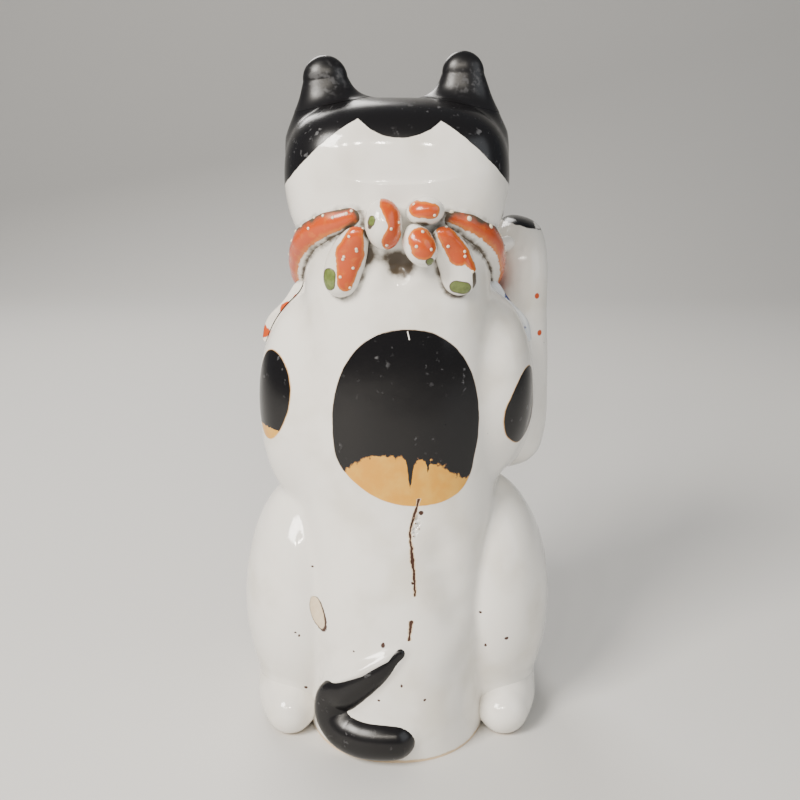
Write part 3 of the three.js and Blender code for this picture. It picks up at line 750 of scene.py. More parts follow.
# %% Dots
def dome(centre, normal, radius, sides=10):
    """Three rings and a top: a cap whose height is 0.6 of its radius, pressed slightly into the clay."""
    across = unit(np.cross(normal, [0.3, 0.2, 1.0]))
    other = np.cross(normal, across)
    angle = np.linspace(0, 2 * np.pi, sides, endpoint=False)[None, :, None]
    lat = np.array([0.0, 0.5, 1.0, 1.35])[:, None, None] * math.pi / 2
    ring = across * np.cos(angle) + other * np.sin(angle)
    return centre + radius * (np.sin(lat) * ring + 0.6 * np.cos(lat) * normal)


def dots_on(name, spacing, radius):
    """Dots along each orange stroke, to the left and right of its line by turns."""
    grid, normal, numbers = scarf_grid[name]
    flat, flat_normal = grid.reshape(-1, 3), normal.reshape(-1, 3)
    places = []
    for kind, start, end, first, last in PAINT[name]:
        if kind != "orange":
            continue
        start, end = np.array(start, float), np.array(end, float)
        length = np.linalg.norm(end - start)
        count = max(int((length + first + last) / spacing), 2)
        along = (end - start) / length
        for k in range(count):
            place = -0.45 * first + (length + 0.45 * (first + last)) * k / (count - 1)
            side = 0.5 * (first + last) / 2 * (-1) ** k
            spot = start + along * place + side * np.array([along[1], -along[0]])
            gap = np.linalg.norm(flat[:, [0, 2]] - spot, axis=1) + 50 * (flat_normal[:, 1] < 0.1)
            places.append(np.argmin(gap))
    return [(flat[i], flat_normal[i], radius) for i in places]


def dots_along(name, first, last, count, radius, height=0.35):
    """Dots along the top of a coil between two shares of its length, wavering up and down."""
    grid, normal, _ = scarf_grid[name]
    rows, columns = grid.shape[:2]
    places = []
    for k in range(count):
        row = int((first + (last - first) * k / (count - 1)) * (rows - 1))
        angle = height + 0.3 * math.sin(2.4 * k)
        column = int(round(angle / (2 * np.pi) * columns)) % columns
        places.append((grid[row, column], normal[row, column], radius))
    return places


DOT_ROWS = [("scarf_knot", 4.2, 0.55), ("bow_loop_upper", 3.6, 0.55), ("bow_loop_lower", 3.4, 0.6),
            ("bow_end_left", 3.2, 0.55), ("bow_end_right", 4.4, 0.6)]  # piece, spacing, radius
for name, spacing, radius in DOT_ROWS:
    dot_places += dots_on(name, spacing, radius)
dot_places += dots_along("scarf_band_left", 0.10, 0.30, 8, 0.6, 3.2)
dot_places += dots_along("scarf_band_right", 0.10, 0.27, 5, 0.95, 0.1)
dot_places += dots_along("scarf_band_left", 0.34, 0.94, 22, 0.7, 2.6)
dot_places += dots_along("scarf_band_right", 0.34, 0.94, 22, 0.7, 0.5)


def dot_piece(name, places, nodes):
    """All the domes of one garment as one mesh."""
    rings = np.array([dome(*place) for place in places])
    rows, columns = rings.shape[1:3]
    starts = [n * rows * columns for n in range(len(places))]
    faces = np.concatenate([grid_faces(rows, columns, start, wrap=True) for start in starts])
    base = np.arange(len(places))[:, None] * rows * columns + (rows - 1) * columns + np.arange(columns)
    new_piece(name, rings, faces.tolist() + base[:, ::-1].tolist(), {}, nodes, sharp=80)


dot_piece("scarf_dots", dot_places, SCARF)
print("scarf dots:", len(dot_places))

# %% [markdown]
# ## The bib
# A thin apron of clay rolled on to the chest, in two halves so that each can be painted in its
# own tie-dye, with a ruffled frill round the edge. Each sheet is a grid over height and angle.
# The frill's waves are pinched between finger and thumb, one every seven millimetres or so.

# %% Bib and frill
BIB_MIDDLE, BIB_HALF, BIB_RISE, BIB_DROP, FRILL_WIDTH = 158, 50, 34, 58, 6
COLLAR_GAP = 0.2  # the bib ends this far under the neck plane, whose slope is 0.6 over 0.8


def bib_half_width(z, inset):
    """Half width of the apron's outline at this height: half ellipses above and below its widest level."""
    reach_up = np.where(z > BIB_MIDDLE, BIB_RISE, BIB_DROP) - inset
    return (BIB_HALF - inset) * np.sqrt(np.clip(1 - ((z - BIB_MIDDLE) / reach_up) ** 2, 0, 1))


def chest(z, angle):
    """The chest at this height, and at this angle from the front towards the side (+X)."""
    ray = np.stack(np.broadcast_arrays(np.sin(angle), -np.cos(angle), 0 * z), axis=-1)
    start = np.stack(np.broadcast_arrays(0 * angle, 0 * angle, z), axis=-1)
    return start + reach(body, start, ray)[..., None] * ray


def bib_edge(z, inset):
    """The angle where a level leaves the outline or comes to the side seam, by halving."""
    low, high = np.zeros(z.shape), np.full(z.shape, math.pi / 2)
    for _ in range(16):
        middle = (low + high) / 2
        p = chest(z, middle)
        inside = (p[..., 0] < bib_half_width(z, inset)) & (p[..., 1] < -1.6 - inset)
        low, high = np.where(inside, middle, low), np.where(inside, high, middle)
    return low


def under_collar(z, angle):
    """Lowers a height until the chest there is under the sloping neck plane."""
    for _ in range(6):
        z = np.minimum(z, (SPINE * 0.8 - COLLAR_GAP + 0.6 * chest(z, angle)[..., 1]) / 0.8)
    return z


def sheet_piece(name, z, angle, thickness, side, node):
    """A raised sheet on the chest whose thickness is given at each grid point, mirrored to its side."""
    z = under_collar(z, angle)
    skin = chest(z, angle)
    normal = skin_normal(body, skin)
    outer = (skin + thickness[..., None] * normal) * [side, 1, 1]
    inner = (skin + 0.02 * normal) * [side, 1, 1]
    shell_piece(name, outer, inner, {"ruffle": thickness, "dirt_and_shade": dirt_and_shade(outer)}, node)
    return outer, normal * [side, 1, 1]


def edge_round(t):
    """A quarter circle's rise from 0 to 1, for the rounded rim of the frill."""
    return np.sqrt(np.clip(1 - (1 - np.clip(t, 0, 1)) ** 2, 0, 1))


share = np.linspace(0, 1, 120)[:, None]
across = np.linspace(0, 1, 100)[None]
bib_surface = {}
for side, name in ((1, "left"), (-1, "right")):
    drop = BIB_DROP - FRILL_WIDTH
    bib_z = np.where(share < 0.7, BIB_MIDDLE - drop * np.cos(share / 0.7 * math.pi / 2),
                     BIB_MIDDLE + (share - 0.7) / 0.3 * 22) + 0 * across
    last = bib_edge(bib_z[:, :1], FRILL_WIDTH)
    bib_angle = 0.004 + (np.maximum(last, 0.005) - 0.004) * across
    thick = 1.5 + 0.2 * wander(chest(bib_z, bib_angle), 17)
    bib_surface[name] = sheet_piece(f"bib_{name}", bib_z, bib_angle, thick, side, f"bib_{name}")
    frill_z = np.where(share < 0.7, BIB_MIDDLE - (BIB_DROP - 0.02) * np.cos(share / 0.7 * math.pi / 2),
                       BIB_MIDDLE + (share - 0.7) / 0.3 * 22)
    t = np.linspace(0, 1, 40)[None]
    near = np.maximum(bib_edge(frill_z, FRILL_WIDTH - 0.3), 0.004)
    far = np.maximum(bib_edge(frill_z, 0.02), 0.006)
    frill_angle = near + (far - near) * t
    place = chest(frill_z + 0 * t, frill_angle)
    turn_round = np.arctan2(place[..., 0] / BIB_HALF, (BIB_MIDDLE - place[..., 2]) / BIB_DROP)
    pleat = 0.5 + 0.5 * np.sin(turn_round * 22)
    thick = (1.6 + 1.5 * pleat * t) * edge_round(t / 0.12) * edge_round((1 - t) / 0.25) + 0.1
    sheet_piece(f"bib_frill_{name}", frill_z + 0 * t, frill_angle, thick, side, f"bib_frill_{name}")

bib_dots = []
for name, (surface, normal) in bib_surface.items():
    for k in range(60):  # sunflower order, which spreads dots evenly without rows
        u, v = math.sqrt((k + 0.5) / 60), (k * 0.618) % 1
        i, j = int(12 + 86 * v**0.65), int(4 + 90 * u)
        bib_dots.append((surface[i, j], normal[i, j], 0.75))
dot_piece("bib_dots", bib_dots, ["bib_left", "bib_right"])

# %% [markdown]
# ## The bell
# A hollow-looking ball with a rib round its equator and a slot below, all solid clay, finished
# in gold lustre: a film of metal that is fired on last, at a low heat.

# %% Bell and loop
BELL = np.array([0, -45.5, 139.5])
BELL_RADIUS = 8.4
lat = np.linspace(0, math.pi, 120)[:, None]
lon = np.linspace(0, 2 * math.pi, 144, endpoint=False)[None]
rib = 1.0 * np.exp(-(((lat - math.pi / 2) / 0.12) ** 4))
radius = BELL_RADIUS + rib + 0 * lon
ball = np.stack([np.sin(lat) * np.cos(lon), np.sin(lat) * np.sin(lon), np.cos(lat) + 0 * lon], axis=-1)
slot_depth = 2.2 * np.exp(-((ball[..., 0] * BELL_RADIUS / 0.8) ** 4))
slot_depth = slot_depth * np.clip((-ball[..., 2] - 0.16) * 12, 0, 1)
slot_depth = slot_depth * np.clip((0.5 - ball[..., 1]) * 5, 0, 1)
radius = radius - slot_depth
tube_piece("bell", BELL + ball * radius[..., None], {"slot": slot_depth}, "bell", sharp=70)

ring_angle = np.linspace(0, 2 * math.pi, 72, endpoint=False)[:, None]
tube_angle = np.linspace(0, 2 * math.pi, 36, endpoint=False)[None]
arm = 2.9 + 1.15 * np.cos(tube_angle)
ring = np.stack(np.broadcast_arrays(1.15 * np.sin(tube_angle) + 0 * ring_angle, arm * np.cos(ring_angle),
                                    arm * np.sin(ring_angle)), axis=-1) + BELL + [0, 1.6, 10.5]
closed = np.concatenate([ring, ring[:1]])
new_piece("bell_loop", closed, grid_faces(73, 36, wrap=True).tolist(), {"slot": np.zeros(closed.shape[:2])},
          "bell_loop")

# %% [markdown]
# ## Shader arithmetic
# A material is a sum worked out for every point of a surface. This small class lets a wire of
# the shader be added and multiplied as numbers are, so that a finish reads as a formula.

# %% Wires
class Wire:
    """A value that runs along one wire of a shader."""

    def __init__(self, tree, socket):
        self.tree, self.socket = tree, socket

    def node(self, kind, settings=(), inputs=(), output=0):
        """Adds a node: first its settings, since they can change its sockets, then its inputs."""
        made = self.tree.nodes.new("ShaderNode" + kind)
        for key, value in dict(settings).items():
            setattr(made, key, value)
        for key, value in dict(inputs).items():
            if isinstance(value, Wire):
                self.tree.links.new(value.socket, made.inputs[key])
            else:
                made.inputs[key].default_value = value
        return Wire(self.tree, made.outputs[output])

    def math(self, operation, first, second=0.0):
        return self.node("Math", {"operation": operation}, {0: first, 1: second})

    def __add__(self, other): return self.math("ADD", self, other)
    def __radd__(self, other): return self.math("ADD", other, self)
    def __sub__(self, other): return self.math("SUBTRACT", self, other)
    def __rsub__(self, other): return self.math("SUBTRACT", other, self)
    def __mul__(self, other): return self.math("MULTIPLY", self, other)
    def __rmul__(self, other): return self.math("MULTIPLY", other, self)
    def __truediv__(self, other): return self.math("DIVIDE", self, other)
    def __pow__(self, other): return self.math("POWER", self, other)
    def __abs__(self): return self.math("ABSOLUTE", self)
    def least(self, other): return self.math("MINIMUM", self, other)
    def most(self, other): return self.math("MAXIMUM", self, other)
    def __lt__(self, other): return self.math("LESS_THAN", self, other)

    def step(self, low, high):
        """0 below low, 1 above high, and a smooth rise between."""
        bounds = {0: self, 1: float(low), 2: float(high)}
        return self.node("MapRange", {"interpolation_type": "SMOOTHSTEP"}, bounds)

    def blend(self, below, above):
        """A colour for 0 and a colour for 1, mixed by this value."""
        colours = [c if isinstance(c, Wire) else (*c, 1.0) for c in (below, above)]
        return self.node("Mix", {"data_type": "RGBA"}, {0: self, 6: colours[0], 7: colours[1]}, 2)

    def heights(self, table, low, high):
        """Reads a short table of (place, height) pairs, straight between them; this is the place."""
        table = sorted(table)
        start, end = table[0][0], table[-1][0]
        ramp = self.node("ValToRGB", {}, {0: (self - start) / (end - start)})
        stops = self.tree.nodes[-1].color_ramp.elements
        while len(stops) < len(table):
            stops.new(0.5)
        for stop, (place, height) in zip(stops, table):
            stop.position = (place - start) / (end - start)
            stop.color = (*[(height - low) / (high - low)] * 3, 1)
        return ramp * (high - low) + low

    def noise(self, size, detail=2.0, output=0):
        """Cloudy noise, 0 to 1, whose largest features are this many millimetres; this is the place."""
        return self.node("TexNoise", {}, {"Vector": self, "Scale": 1.0 / size, "Detail": detail}, output)

    def cells(self, size, output="Distance"):
        """Distance to the nearest of a scatter of points about this far apart, in cells."""
        return self.node("TexVoronoi", {}, {"Vector": self, "Scale": 1.0 / size}, output)


class Place:
    """Where a point is, in millimetres, as a vector and as its three numbers."""

    def __init__(self, tree):
        where = Wire(tree, tree.nodes.new("ShaderNodeTexCoord").outputs["Object"])
        self.tree = tree
        self.vector = where.node("VectorMath", {"operation": "SCALE"}, {0: where, "Scale": 1 / MM})
        self.x, self.y, self.z = (self.vector.node("SeparateXYZ", {}, {0: self.vector}, k) for k in range(3))

    def folded(self):
        """The same place with its X made positive, for what both sides share."""
        twin = copy.copy(self)
        twin.x = abs(self.x)
        return twin

    def number(self, name):
        """A number kept at each vertex of the piece."""
        return self.vector.node("Attribute", {"attribute_name": name}, {}, "Fac")

    def oval(self, x, z, half_x, half_z, lean=0.0, across=None):
        """Depth in millimetres inside an oval seen along Y, or along X if across is Y."""
        u, v = (self.x if across is None else across) - x, self.z - z
        a = (u * math.cos(lean) + v * math.sin(lean)) / half_x
        b = (v * math.cos(lean) - u * math.sin(lean)) / half_z
        return (1 - (a * a + b * b) ** 0.5) * min(half_x, half_z)

    def line(self, start, end, width):
        """Depth inside a straight stroke seen along Y."""
        length = math.dist(start, end)
        along = ((end[0] - start[0]) / length, (end[1] - start[1]) / length)
        u, v = self.x - start[0], self.z - start[1]
        share = (u * along[0] + v * along[1]).most(0.0).least(length)
        gap = ((u - share * along[0]) ** 2 + (v - share * along[1]) ** 2) ** 0.5
        return width - gap


# %% [markdown]
# ## Glaze
# The clear glaze is about 0.15 mm of glass over white clay. It is warm white, very smooth, and
# it rolls slightly where it ran. Iron specks and pinholes show through it. Every finish starts
# from this one, and the enamels are laid over it: each one is thicker than a film, so it
# stands up, and less smooth, so its highlight is softer.

# %% Glazed clay
WHITE, SHADED_WHITE = (0.84, 0.81, 0.75), (0.72, 0.68, 0.60)
BLACK, WORN_BLACK = (0.006, 0.0055, 0.006), (0.10, 0.10, 0.105)
ORANGE, THIN_ORANGE = (0.50, 0.068, 0.010), (0.60, 0.17, 0.022)
OCHRE, PALE_OCHRE = (0.64, 0.29, 0.022), (0.68, 0.36, 0.05)
GREEN, COBALT, PALE_BLUE = (0.06, 0.085, 0.018), (0.022, 0.035, 0.16), (0.56, 0.63, 0.72)
# a dark brown for old dirt, for painted shade in the creases and hollows, and for small dark marks on the
# scarf
DIRT_AND_SHADE, IRON = (0.075, 0.055, 0.035), (0.045, 0.014, 0.006)
CREAM, CLAY = (0.78, 0.68, 0.50), (0.66, 0.50, 0.32)
GOLD, WORN_GOLD = (0.80, 0.52, 0.16), (0.52, 0.36, 0.15)


class Coat:
    """What a glazed surface looks like: its colour, roughness, height in millimetres and metal."""

    def __init__(self, name):
        self.material = bpy.data.materials.new(name)
        self.material.use_nodes = True
        self.tree = self.material.node_tree
        self.tree.nodes.clear()
        self.at = Place(self.tree)
        v = self.at.vector
        self.colour = v.noise(24, 3).step(0.42, 0.72).blend(WHITE, SHADED_WHITE)
        self.rough = v.noise(30, 3) * 0.10 + 0.05
        self.height = v.noise(9, 1) * 0.05 + v.noise(2.2, 1) * 0.004
        self.metal = 0.0
        self.gloss = 0.3
        lucky = v.node("SeparateColor", {}, {0: v.cells(8, "Color")})
        self.paint(0.28 - v.cells(8) * 8 - (lucky < 0.87) * 5, IRON, 0.35, -0.05, 0.12)

    def paint(self, depth, colour, rough, lift=0.03, soft=0.15, dull=False):
        """Lays an enamel where depth is above nought; a dull one has no clear coat over it."""
        cover = depth.step(-soft, soft)
        self.colour = cover.blend(self.colour, colour)
        self.rough = self.rough + cover * (rough - self.rough)
        self.height = self.height + cover * lift
        if dull:
            self.gloss = self.gloss * (1 - cover)
        return cover

    def dirt_and_shade(self, scale=1.0):
        """Dark brown in the creases and the thumb hole, partly old dirt and partly painted shade, more in
        some places than in others.
        """
        amount = self.at.number("dirt_and_shade") * (self.at.vector.noise(3.5, 4) * 1.9 * scale)
        # the colour goes dark brown in the creases and hollows: painted shade mixed with old dirt
        self.colour = amount.step(0.35, 1.3).blend(self.colour, DIRT_AND_SHADE)
        self.rough = self.rough + amount.step(0.35, 1.2) * 0.4

    def finish(self, *names):
        """Wires the sums to a surface shader and gives the material to the pieces."""
        v = self.at.vector
        bump = v.node("Bump", {}, {"Height": self.height, "Strength": 1.0, "Distance": MM})
        inputs = {"Base Color": self.colour, "Roughness": self.rough, "Metallic": self.metal, "IOR": 1.43,
                  "Coat Weight": self.gloss, "Coat Roughness": 0.03, "Normal": bump}
        surface = v.node("BsdfPrincipled", {}, inputs)
        out = self.tree.nodes.new("ShaderNodeOutputMaterial")
        self.tree.links.new(surface.socket, out.inputs["Surface"])
        for name in names:
            bpy.data.objects["fired_" + name].data.materials.append(self.material)
        print(self.material.name, "on", ", ".join(names), "-", len(self.tree.nodes), "nodes")

# %% [markdown]
# ## The painted body
# Three cats' colours: black and ochre patches on white. The back patch is a black cap over an
# ochre foot, and the black has crept into the ochre in uneven drips, since the two enamels
# fused in the kiln. Below it the clay has cracked along the mould's centre line, and a crumb
# of glaze has flaked off the left haunch.

# %% Body finish
DRIP_LINE = 115.5
RUNS = [(20, 6, 8), (-24, 10.5, 11), (-4.6, 11, 1.3), (-10.8, 4.5, 0.7)]  # x, how far down, half width
CRACK = [(100, -8), (87, -4.5), (67, -6.5), (46, -4)]  # z and x: in from the patch, back out, and in
chance = np.random.default_rng(3)
SPECKS = [(5, 47, 0.75), (35, 18, 0.6), (-41, 41, 0.6)]  # three large pinholes, then a scatter
SPECKS += [tuple(map(float, chance.uniform((-40, 18, 0.3), (40, 105, 0.5)))) for _ in range(11)]

coat = Coat("painted_body")
at = coat.at
behind = at.y.step(2, 8)
wobble = at.vector.noise(5, 2) * 0.9 - 0.45
middle = at.z.step(94, 114) * 5 - 8.2
above, below = (at.z - 125.5).most(0.0) / 33.8, (125.5 - at.z).most(0.0) / 28.9
outline = ((abs(at.x - middle) / 25.9) ** 2.3 + above**2.05 + below**2.6) ** (1 / 2.3)
patch = ((1 - outline) * 26 + wobble * 0.5).least(behind * 60 - 30)
fine = at.vector.noise(1.1, 3) * 1.3 - 0.65
sag = sum((((at.x - x) / width) ** 2 + 1) ** -2 * down for x, down, width in RUNS)
above_drips = at.z - DRIP_LINE + sag + at.vector.noise(2.4, 4) * 8 - 4
mottle = at.vector.noise(6, 3).step(0.35, 0.7)
coat.paint(patch, mottle.blend(OCHRE, PALE_OCHRE), 0.2, 0.05, 0.2)
scuffs = (at.vector.noise(2.6, 5).step(0.62, 0.72) * at.vector.noise(17, 2).step(0.5, 0.66)) * 0.8
black = scuffs.blend(BLACK, WORN_BLACK)
coat.paint(patch.least(above_drips + 0.5), (0.11, 0.05, 0.02), 0.2, 0, 0.35)
coat.paint(patch.least(above_drips), black, scuffs * 0.3 + 0.14, 0.06, 0.1, dull=True)
coat.paint(at.line((-3.6, 158.6), (-4.2, 156), 0.2).least(behind * 9 - 5), WHITE, 0.2, 0, 0.08)

for side, y, z, half_y, half_z, ochre_top in ((1, 11, 131, 8.5, 16.8, 119), (-1, 10, 127, 9, 14.5, 100)):
    on_side = (at.x * side - 30) * 4
    arm = at.oval(0, z, half_y, half_z, 0.06, at.y - y).least(on_side) + wobble * 0.4
    coat.paint(arm, mottle.blend(OCHRE, PALE_OCHRE), 0.2, 0.05, 0.2)
    coat.paint((arm - 0.1).least(at.z - ochre_top + fine * 1.5), black, 0.2, 0.06, 0.12, dull=True)

jagged = at.vector.noise(2.5, 3) * 1.6 - 0.8
off_crack = abs(at.x - at.z.heights(CRACK, -9, -3) + jagged)
upper_crack = at.z.step(99, 100.5) * -1 + at.z.step(63, 64.5)
open_part = upper_crack.most(at.z.step(47.5, 48.5) - at.z.step(55.5, 57))
width = at.vector.noise(6, 2) * 0.85 - 0.02 - (1 - open_part * behind) * 3
coat.paint(width + 0.30 - off_crack, CLAY, 0.6, 0, 0.25)
coat.paint(width - off_crack, IRON, 0.8, -0.5, 0.08)
scar = at.oval(-6.6, 89.5, 2.2, 5.6, 0.15).step(0, 1.2) * behind
bubbles = (0.36 - at.vector.cells(1.5)) * scar * 3
coat.height = coat.height + bubbles * 0.4
coat.paint(bubbles * 0.8 - 0.2, (0.16, 0.10, 0.055), 0.35, 0, 0.08)
coat.paint(at.oval(-8.6, 94, 0.9, 0.8, 0.3) + fine * 0.6 - (1 - behind) * 9, IRON, 0.5, -0.1, 0.1)

chip = at.oval(29.5, 52.5, 2.5, 6, -0.26) + fine * 0.35 - (1 - behind) * 9
coat.paint(at.oval(29, 52, 2.9, 6.4, -0.26) + fine * 0.5 - (1 - behind) * 9, IRON, 0.6, -0.05, 0.12)
coat.paint(chip, at.vector.noise(1.5, 4).blend(CREAM, CLAY), 0.85, -0.2, 0.15)
for x, z, size in SPECKS:
    coat.paint(at.oval(x, z, size * 1.3, size, x) + fine * 0.5 - (1 - behind) * 9, IRON, 0.5, -0.1, 0.1)
coat.paint(0.55 - at.z + at.vector.noise(3, 3) * 1.2, CLAY, 0.9, -0.1, 0.3)
coat.dirt_and_shade()
coat.finish("body_back", "body_front")

# %% [markdown]
# ## The painted head
# The black hair comes down from the crown in two lobes with a scallop between, and leaves the
# cheeks white. The face follows the usual souvenir pattern: gilded almond eyes, a red nose and
# lips, fine black brows and whiskers.

# %% Head finish
LOBE_X, LOBE_Z = 13.7, 228  # where each lobe of hair meets the scallop
SCALLOP_X, SCALLOP_Z, SCALLOP_RADIUS = -1.2, 241.2, 19  # the arc cut into the hair between them
BROW_Z, PEAK_RISE = 219, 15  # the guessed front hairline and its point
coat = Coat("painted_head")
at = coat.at
front = 1 - at.y.step(-8, 8)
behind = at.y.step(-8, 8)
out = abs(at.x) - LOBE_X
lobes = LOBE_Z - out * 0.55 - out * abs(out) * 0.0125
scallop = SCALLOP_Z - (SCALLOP_RADIUS**2 - (at.x - SCALLOP_X) ** 2).most(0.0) ** 0.5
brow = BROW_Z + (PEAK_RISE - abs(at.x) * 1.2).most(0.0) - (abs(at.x) - 26).most(0.0) * 0.75
line = lobes.least(scallop) * behind + brow * front
fine = at.vector.noise(3, 2) * 0.7 - 0.35
scuffs = at.vector.noise(2.2, 5).step(0.60, 0.70) * at.vector.noise(13, 2).step(0.46, 0.62) * 0.7
black = scuffs.blend(BLACK, WORN_BLACK)
coat.paint(at.z - line + fine, black, scuffs * 0.3 + 0.24, 0.06, 0.12, dull=True)
facing = (-14 - at.y).step(-1, 1) * 20 - 20
face = at.folded()
eye = face.oval(15.5, 206.5, 7.6, 4.6, 0.22)
coat.paint(eye + facing, (0.02, 0.015, 0.012), 0.2, 0.04, 0.12)
coat.paint(eye - 0.7 + facing, (0.80, 0.76, 0.68), 0.12, 0, 0.1)
iris = face.oval(15.2, 206.5, 3.9, 4.4).least(eye - 0.7)
coat.paint(iris + facing, (0.62, 0.36, 0.06), 0.2, 0.02, 0.12)
coat.paint(face.oval(15.2, 206.5, 1.5, 3.6).least(eye - 0.7) + facing, BLACK, 0.15, 0.02, 0.1, dull=True)
coat.paint(face.line((10, 213.5), (21, 214.6), 0.55) + facing, BLACK, 0.2, 0.03, 0.1, dull=True)
for low, high in (((22, 196), (35, 199)), ((22, 193.5), (35, 193.5)), ((21, 191), (33, 188))):
    coat.paint(face.line(low, high, 0.3) + facing, BLACK, 0.2, 0.02, 0.1, dull=True)
coat.paint(at.oval(0, 201.3, 3.6, 2.3) + facing, (0.55, 0.12, 0.08), 0.2, 0.03, 0.15)
mouth = face.line((0, 199), (0, 195.5), 0.35).most(face.line((0, 195.5), (5.5, 192.6), 0.45))
mouth = mouth.most(face.line((5.5, 192.6), (10, 194), 0.4))
coat.paint(mouth + facing, (0.42, 0.04, 0.03), 0.25, 0.02, 0.1)
coat.dirt_and_shade(0.7)
coat.finish("head_back", "head_front")

# %% [markdown]
# ## Ears, legs and tail
# The ears are black outside and red in the hollow. The white paws have a worn black patch on
# the raised one and painted claws. The tail is black down to the floor.

# %% Finishes of ears, legs and tail
coat = Coat("ear_glaze")
at = coat.at
rubbed = at.oval(24.5, 241.5, 8, 6).most(at.oval(-24, 241.5, 8, 5.5)).step(-2, 4) * at.y.step(-2, 2)
scuffs = at.vector.noise(1.6, 6).step(0.48, 0.66) * rubbed * 0.45
coat.paint(at.z - 200, scuffs.blend(BLACK, WORN_BLACK), scuffs * 0.35 + 0.32, 0.06, dull=True)
coat.paint(at.folded().oval(24.6, 238.5, 5.6, 8.5).least(-6.5 - at.y), (0.50, 0.09, 0.06), 0.25, 0.03, 0.3)
coat.finish("ear_left", "ear_right")

coat = Coat("paw_glaze")
at = coat.at
fine = at.vector.noise(2.5, 3) * 1.2 - 0.6
cap = (at.z - 188.7 - (at.x + 48) * 0.22).least(-38.5 - at.x) + fine
worn = at.oval(-54.6, 189.2, 2.2, 1.6)
coat.paint(cap.least(worn * -1 + fine).least(at.y + 36), BLACK, 0.2, 0.05, dull=True)
for x, z in ((-52.6, 164), (-54, 150)):
    coat.paint(at.oval(x, z, 0.9, 1.1).least(at.y + 14) + fine * 0.2, ORANGE, 0.3, 0.02)
for x, y, z in ((-46, -50, 172), (17.5, -62, 7), (42, -57, 7), (-42, -57, 7)):
    for toe in (-6.2, -2.1, 2.1, 6.2):
        claw = at.oval(x + toe, z, 0.55, 2.4).least(y + 8 - at.y)
        coat.paint(claw, (0.42, 0.04, 0.03), 0.25, 0.03, 0.1)
coat.paint(0.5 - at.z + at.vector.noise(3, 3), CLAY, 0.9, -0.1, 0.3)
coat.finish("raised_foreleg", "paw_strut", "standing_foreleg", "hind_paw_left", "hind_paw_right")

coat = Coat("tail_glaze")
at = coat.at
ragged = at.vector.noise(1.6, 4) * 1.6 - 0.8
scuffs = at.vector.noise(1.8, 5).step(0.6, 0.7) * at.vector.noise(8, 2).step(0.5, 0.66) * 0.5
brushed = scuffs.blend(BLACK, WORN_BLACK)
coat.paint((at.z - 1.6).least(at.x + 11) + ragged * 0.7, brushed, scuffs * 0.3 + 0.26, 0.06, dull=True)
coat.finish("tail")

# %% [markdown]
# ## Scarf, bib and bell
# Iron-red orange is brushed on in one coat, so it is thinner and yellower at its edges. The
# other half of the bib is pale blue with cobalt blotches. The dots are cream enamel.

# %% Scarf finish
coat = Coat("scarf_enamel")
at = coat.at
fine = at.vector.noise(1.8, 3) * 0.9 - 0.45
depth = at.number("orange") + fine
cloth = depth.step(0.1, 1.1).blend(THIN_ORANGE, ORANGE)
coat.paint(depth, at.vector.noise(3.2, 3).step(0.5, 0.9).blend(cloth, THIN_ORANGE), 0.24, 0.12)
coat.paint(at.number("dark") + fine * 0.4 + 0.35, DIRT_AND_SHADE, 0.4, 0.02)
coat.paint(at.number("green") + fine * 0.3 + 0.25, IRON, 0.3, 0.03)
leaf = at.vector.noise(1.5, 2).blend(GREEN, (0.2, 0.25, 0.07))
coat.paint(at.number("green") + fine * 0.3, leaf, 0.25, 0.08)
coat.dirt_and_shade(1.25)
coat.finish(*SCARF)

coat = Coat("cream_enamel")
at = coat.at
coat.paint(at.vector.noise(1.1, 2) - 0.35, CREAM, 0.22, 0.0)
coat.finish("scarf_dots", "bib_dots")

for name, ground, blot in (("left", ORANGE, THIN_ORANGE), ("right", PALE_BLUE, COBALT)):
    coat = Coat(f"bib_enamel_{name}")
    at = coat.at
    blotch = at.vector.noise(7, 3).step(0.5, 0.6)
    coat.paint(at.z - 50, blotch.blend(ground, blot), 0.24, 0.1)
    coat.dirt_and_shade(0.8)
    coat.finish(f"bib_{name}")
    coat = Coat(f"frill_enamel_{name}")
    at = coat.at
    fine = at.vector.noise(2, 3) * 1.2 - 0.6
    spot = 3.0 - at.vector.cells(6.5) * 6.5 + fine
    if name == "left":
        coat.paint(spot, ORANGE, 0.25, 0.12)
    else:
        coat.paint(at.z - 50, at.vector.noise(6, 3).blend(PALE_BLUE, WHITE), 0.2, 0.03)
        coat.paint(spot, COBALT, 0.25, 0.1)
    coat.dirt_and_shade(0.8)
    coat.finish(f"bib_frill_{name}")

# %% Bell and base finish
coat = Coat("gold_lustre")
at = coat.at
worn = at.vector.noise(3, 5).step(0.58, 0.72)
coat.colour = worn.blend(GOLD, WORN_GOLD)
coat.metal = 1 - worn * 0.35
coat.rough = at.vector.noise(6, 3) * 0.18 + 0.16 + worn * 0.15
coat.paint(at.number("slot") - 1.1, (0.012, 0.01, 0.008), 0.6, 0, 0.3)
coat.finish("bell", "bell_loop")

coat = Coat("bare_clay")
at = coat.at
coat.colour = at.vector.noise(7, 5).blend(CLAY, CREAM)
coat.rough = at.vector.noise(2, 4) * 0.2 + 0.75
coat.height = at.vector.noise(1.2, 5) * 0.15
coat.finish("base_plate")

# %% [markdown]
# ## Floor and light
# A plain pale floor that curves up behind the figure, a broad key light from the upper left
# behind the camera, a weaker one from the right, and a row of small lamps that leave the short
# bright marks seen in glossy glaze.

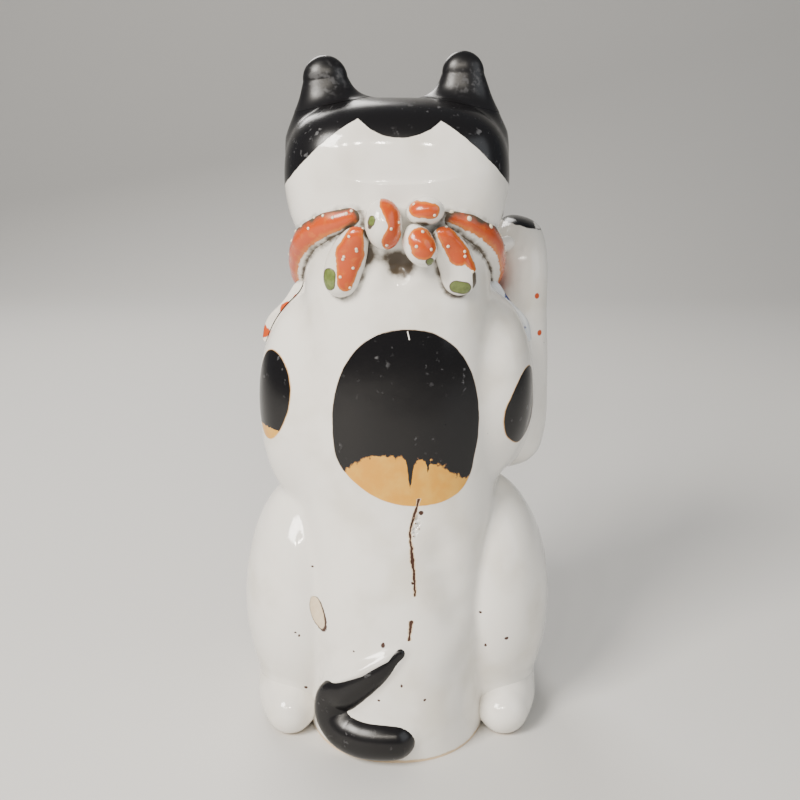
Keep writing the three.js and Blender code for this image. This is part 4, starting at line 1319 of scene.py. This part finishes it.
# %% Floor
slope = np.linspace(0, math.pi / 2, 24)
curve = [(-0.9 - 0.7 * math.sin(a), 0.7 - 0.7 * math.cos(a)) for a in slope[1:]]
profile = [(2.0, 0.0), (-0.9, 0.0), *curve, (-1.6, 2.6)]
floor_mesh = bpy.data.meshes.new("floor")
corners = [(x, y, z) for y, z in profile for x in (-2.6, 2.6)]
floor_mesh.from_pydata(corners, [], grid_faces(len(profile), 2).tolist())
floor_mesh.polygons.foreach_set("use_smooth", np.ones(len(floor_mesh.polygons), bool))
floor = bpy.data.objects.new("floor", floor_mesh)
bpy.context.collection.objects.link(floor)
floor_look = bpy.data.materials.new("floor")
floor_look.use_nodes = True
floor_look.node_tree.nodes["Principled BSDF"].inputs["Base Color"].default_value = (0.62, 0.61, 0.59, 1)
floor_look.node_tree.nodes["Principled BSDF"].inputs["Roughness"].default_value = 0.6
floor_mesh.materials.append(floor_look)

# %% Lights
world = bpy.data.worlds.new("studio")
bpy.context.scene.world = world
world.use_nodes = True
world.node_tree.nodes["Background"].inputs["Color"].default_value = (0.86, 0.92, 1.0, 1)
world.node_tree.nodes["Background"].inputs["Strength"].default_value = 0.2


def lamp(name, place, size, power, colour, aim=(0, 0, 0.14)):
    """A square soft light at a place, facing the figure."""
    data = bpy.data.lights.new(name, "AREA")
    data.size, data.energy, data.color = size, power, colour
    light = bpy.data.objects.new(name, data)
    light.location = place
    away = Vector(place) - Vector(aim)
    light.rotation_euler = away.to_track_quat("Z", "Y").to_euler()
    bpy.context.collection.objects.link(light)


lamp("key", (0.75, 0.75, 0.95), 0.45, 30, (1.0, 0.95, 0.88))
lamp("fill", (-0.9, 0.55, 0.55), 0.8, 3.5, (0.9, 0.95, 1.0))
lamp("rim", (0.3, -0.8, 0.8), 0.5, 8, (1.0, 0.97, 0.93))
for k, x in enumerate((0.62, 0.44, 0.26, 0.06, -0.16)):
    lamp(f"spot_{k}", (x, 1.0, 0.80 - 0.05 * abs(x - 0.1)), 0.05, 1.5, (1.0, 0.93, 0.82))
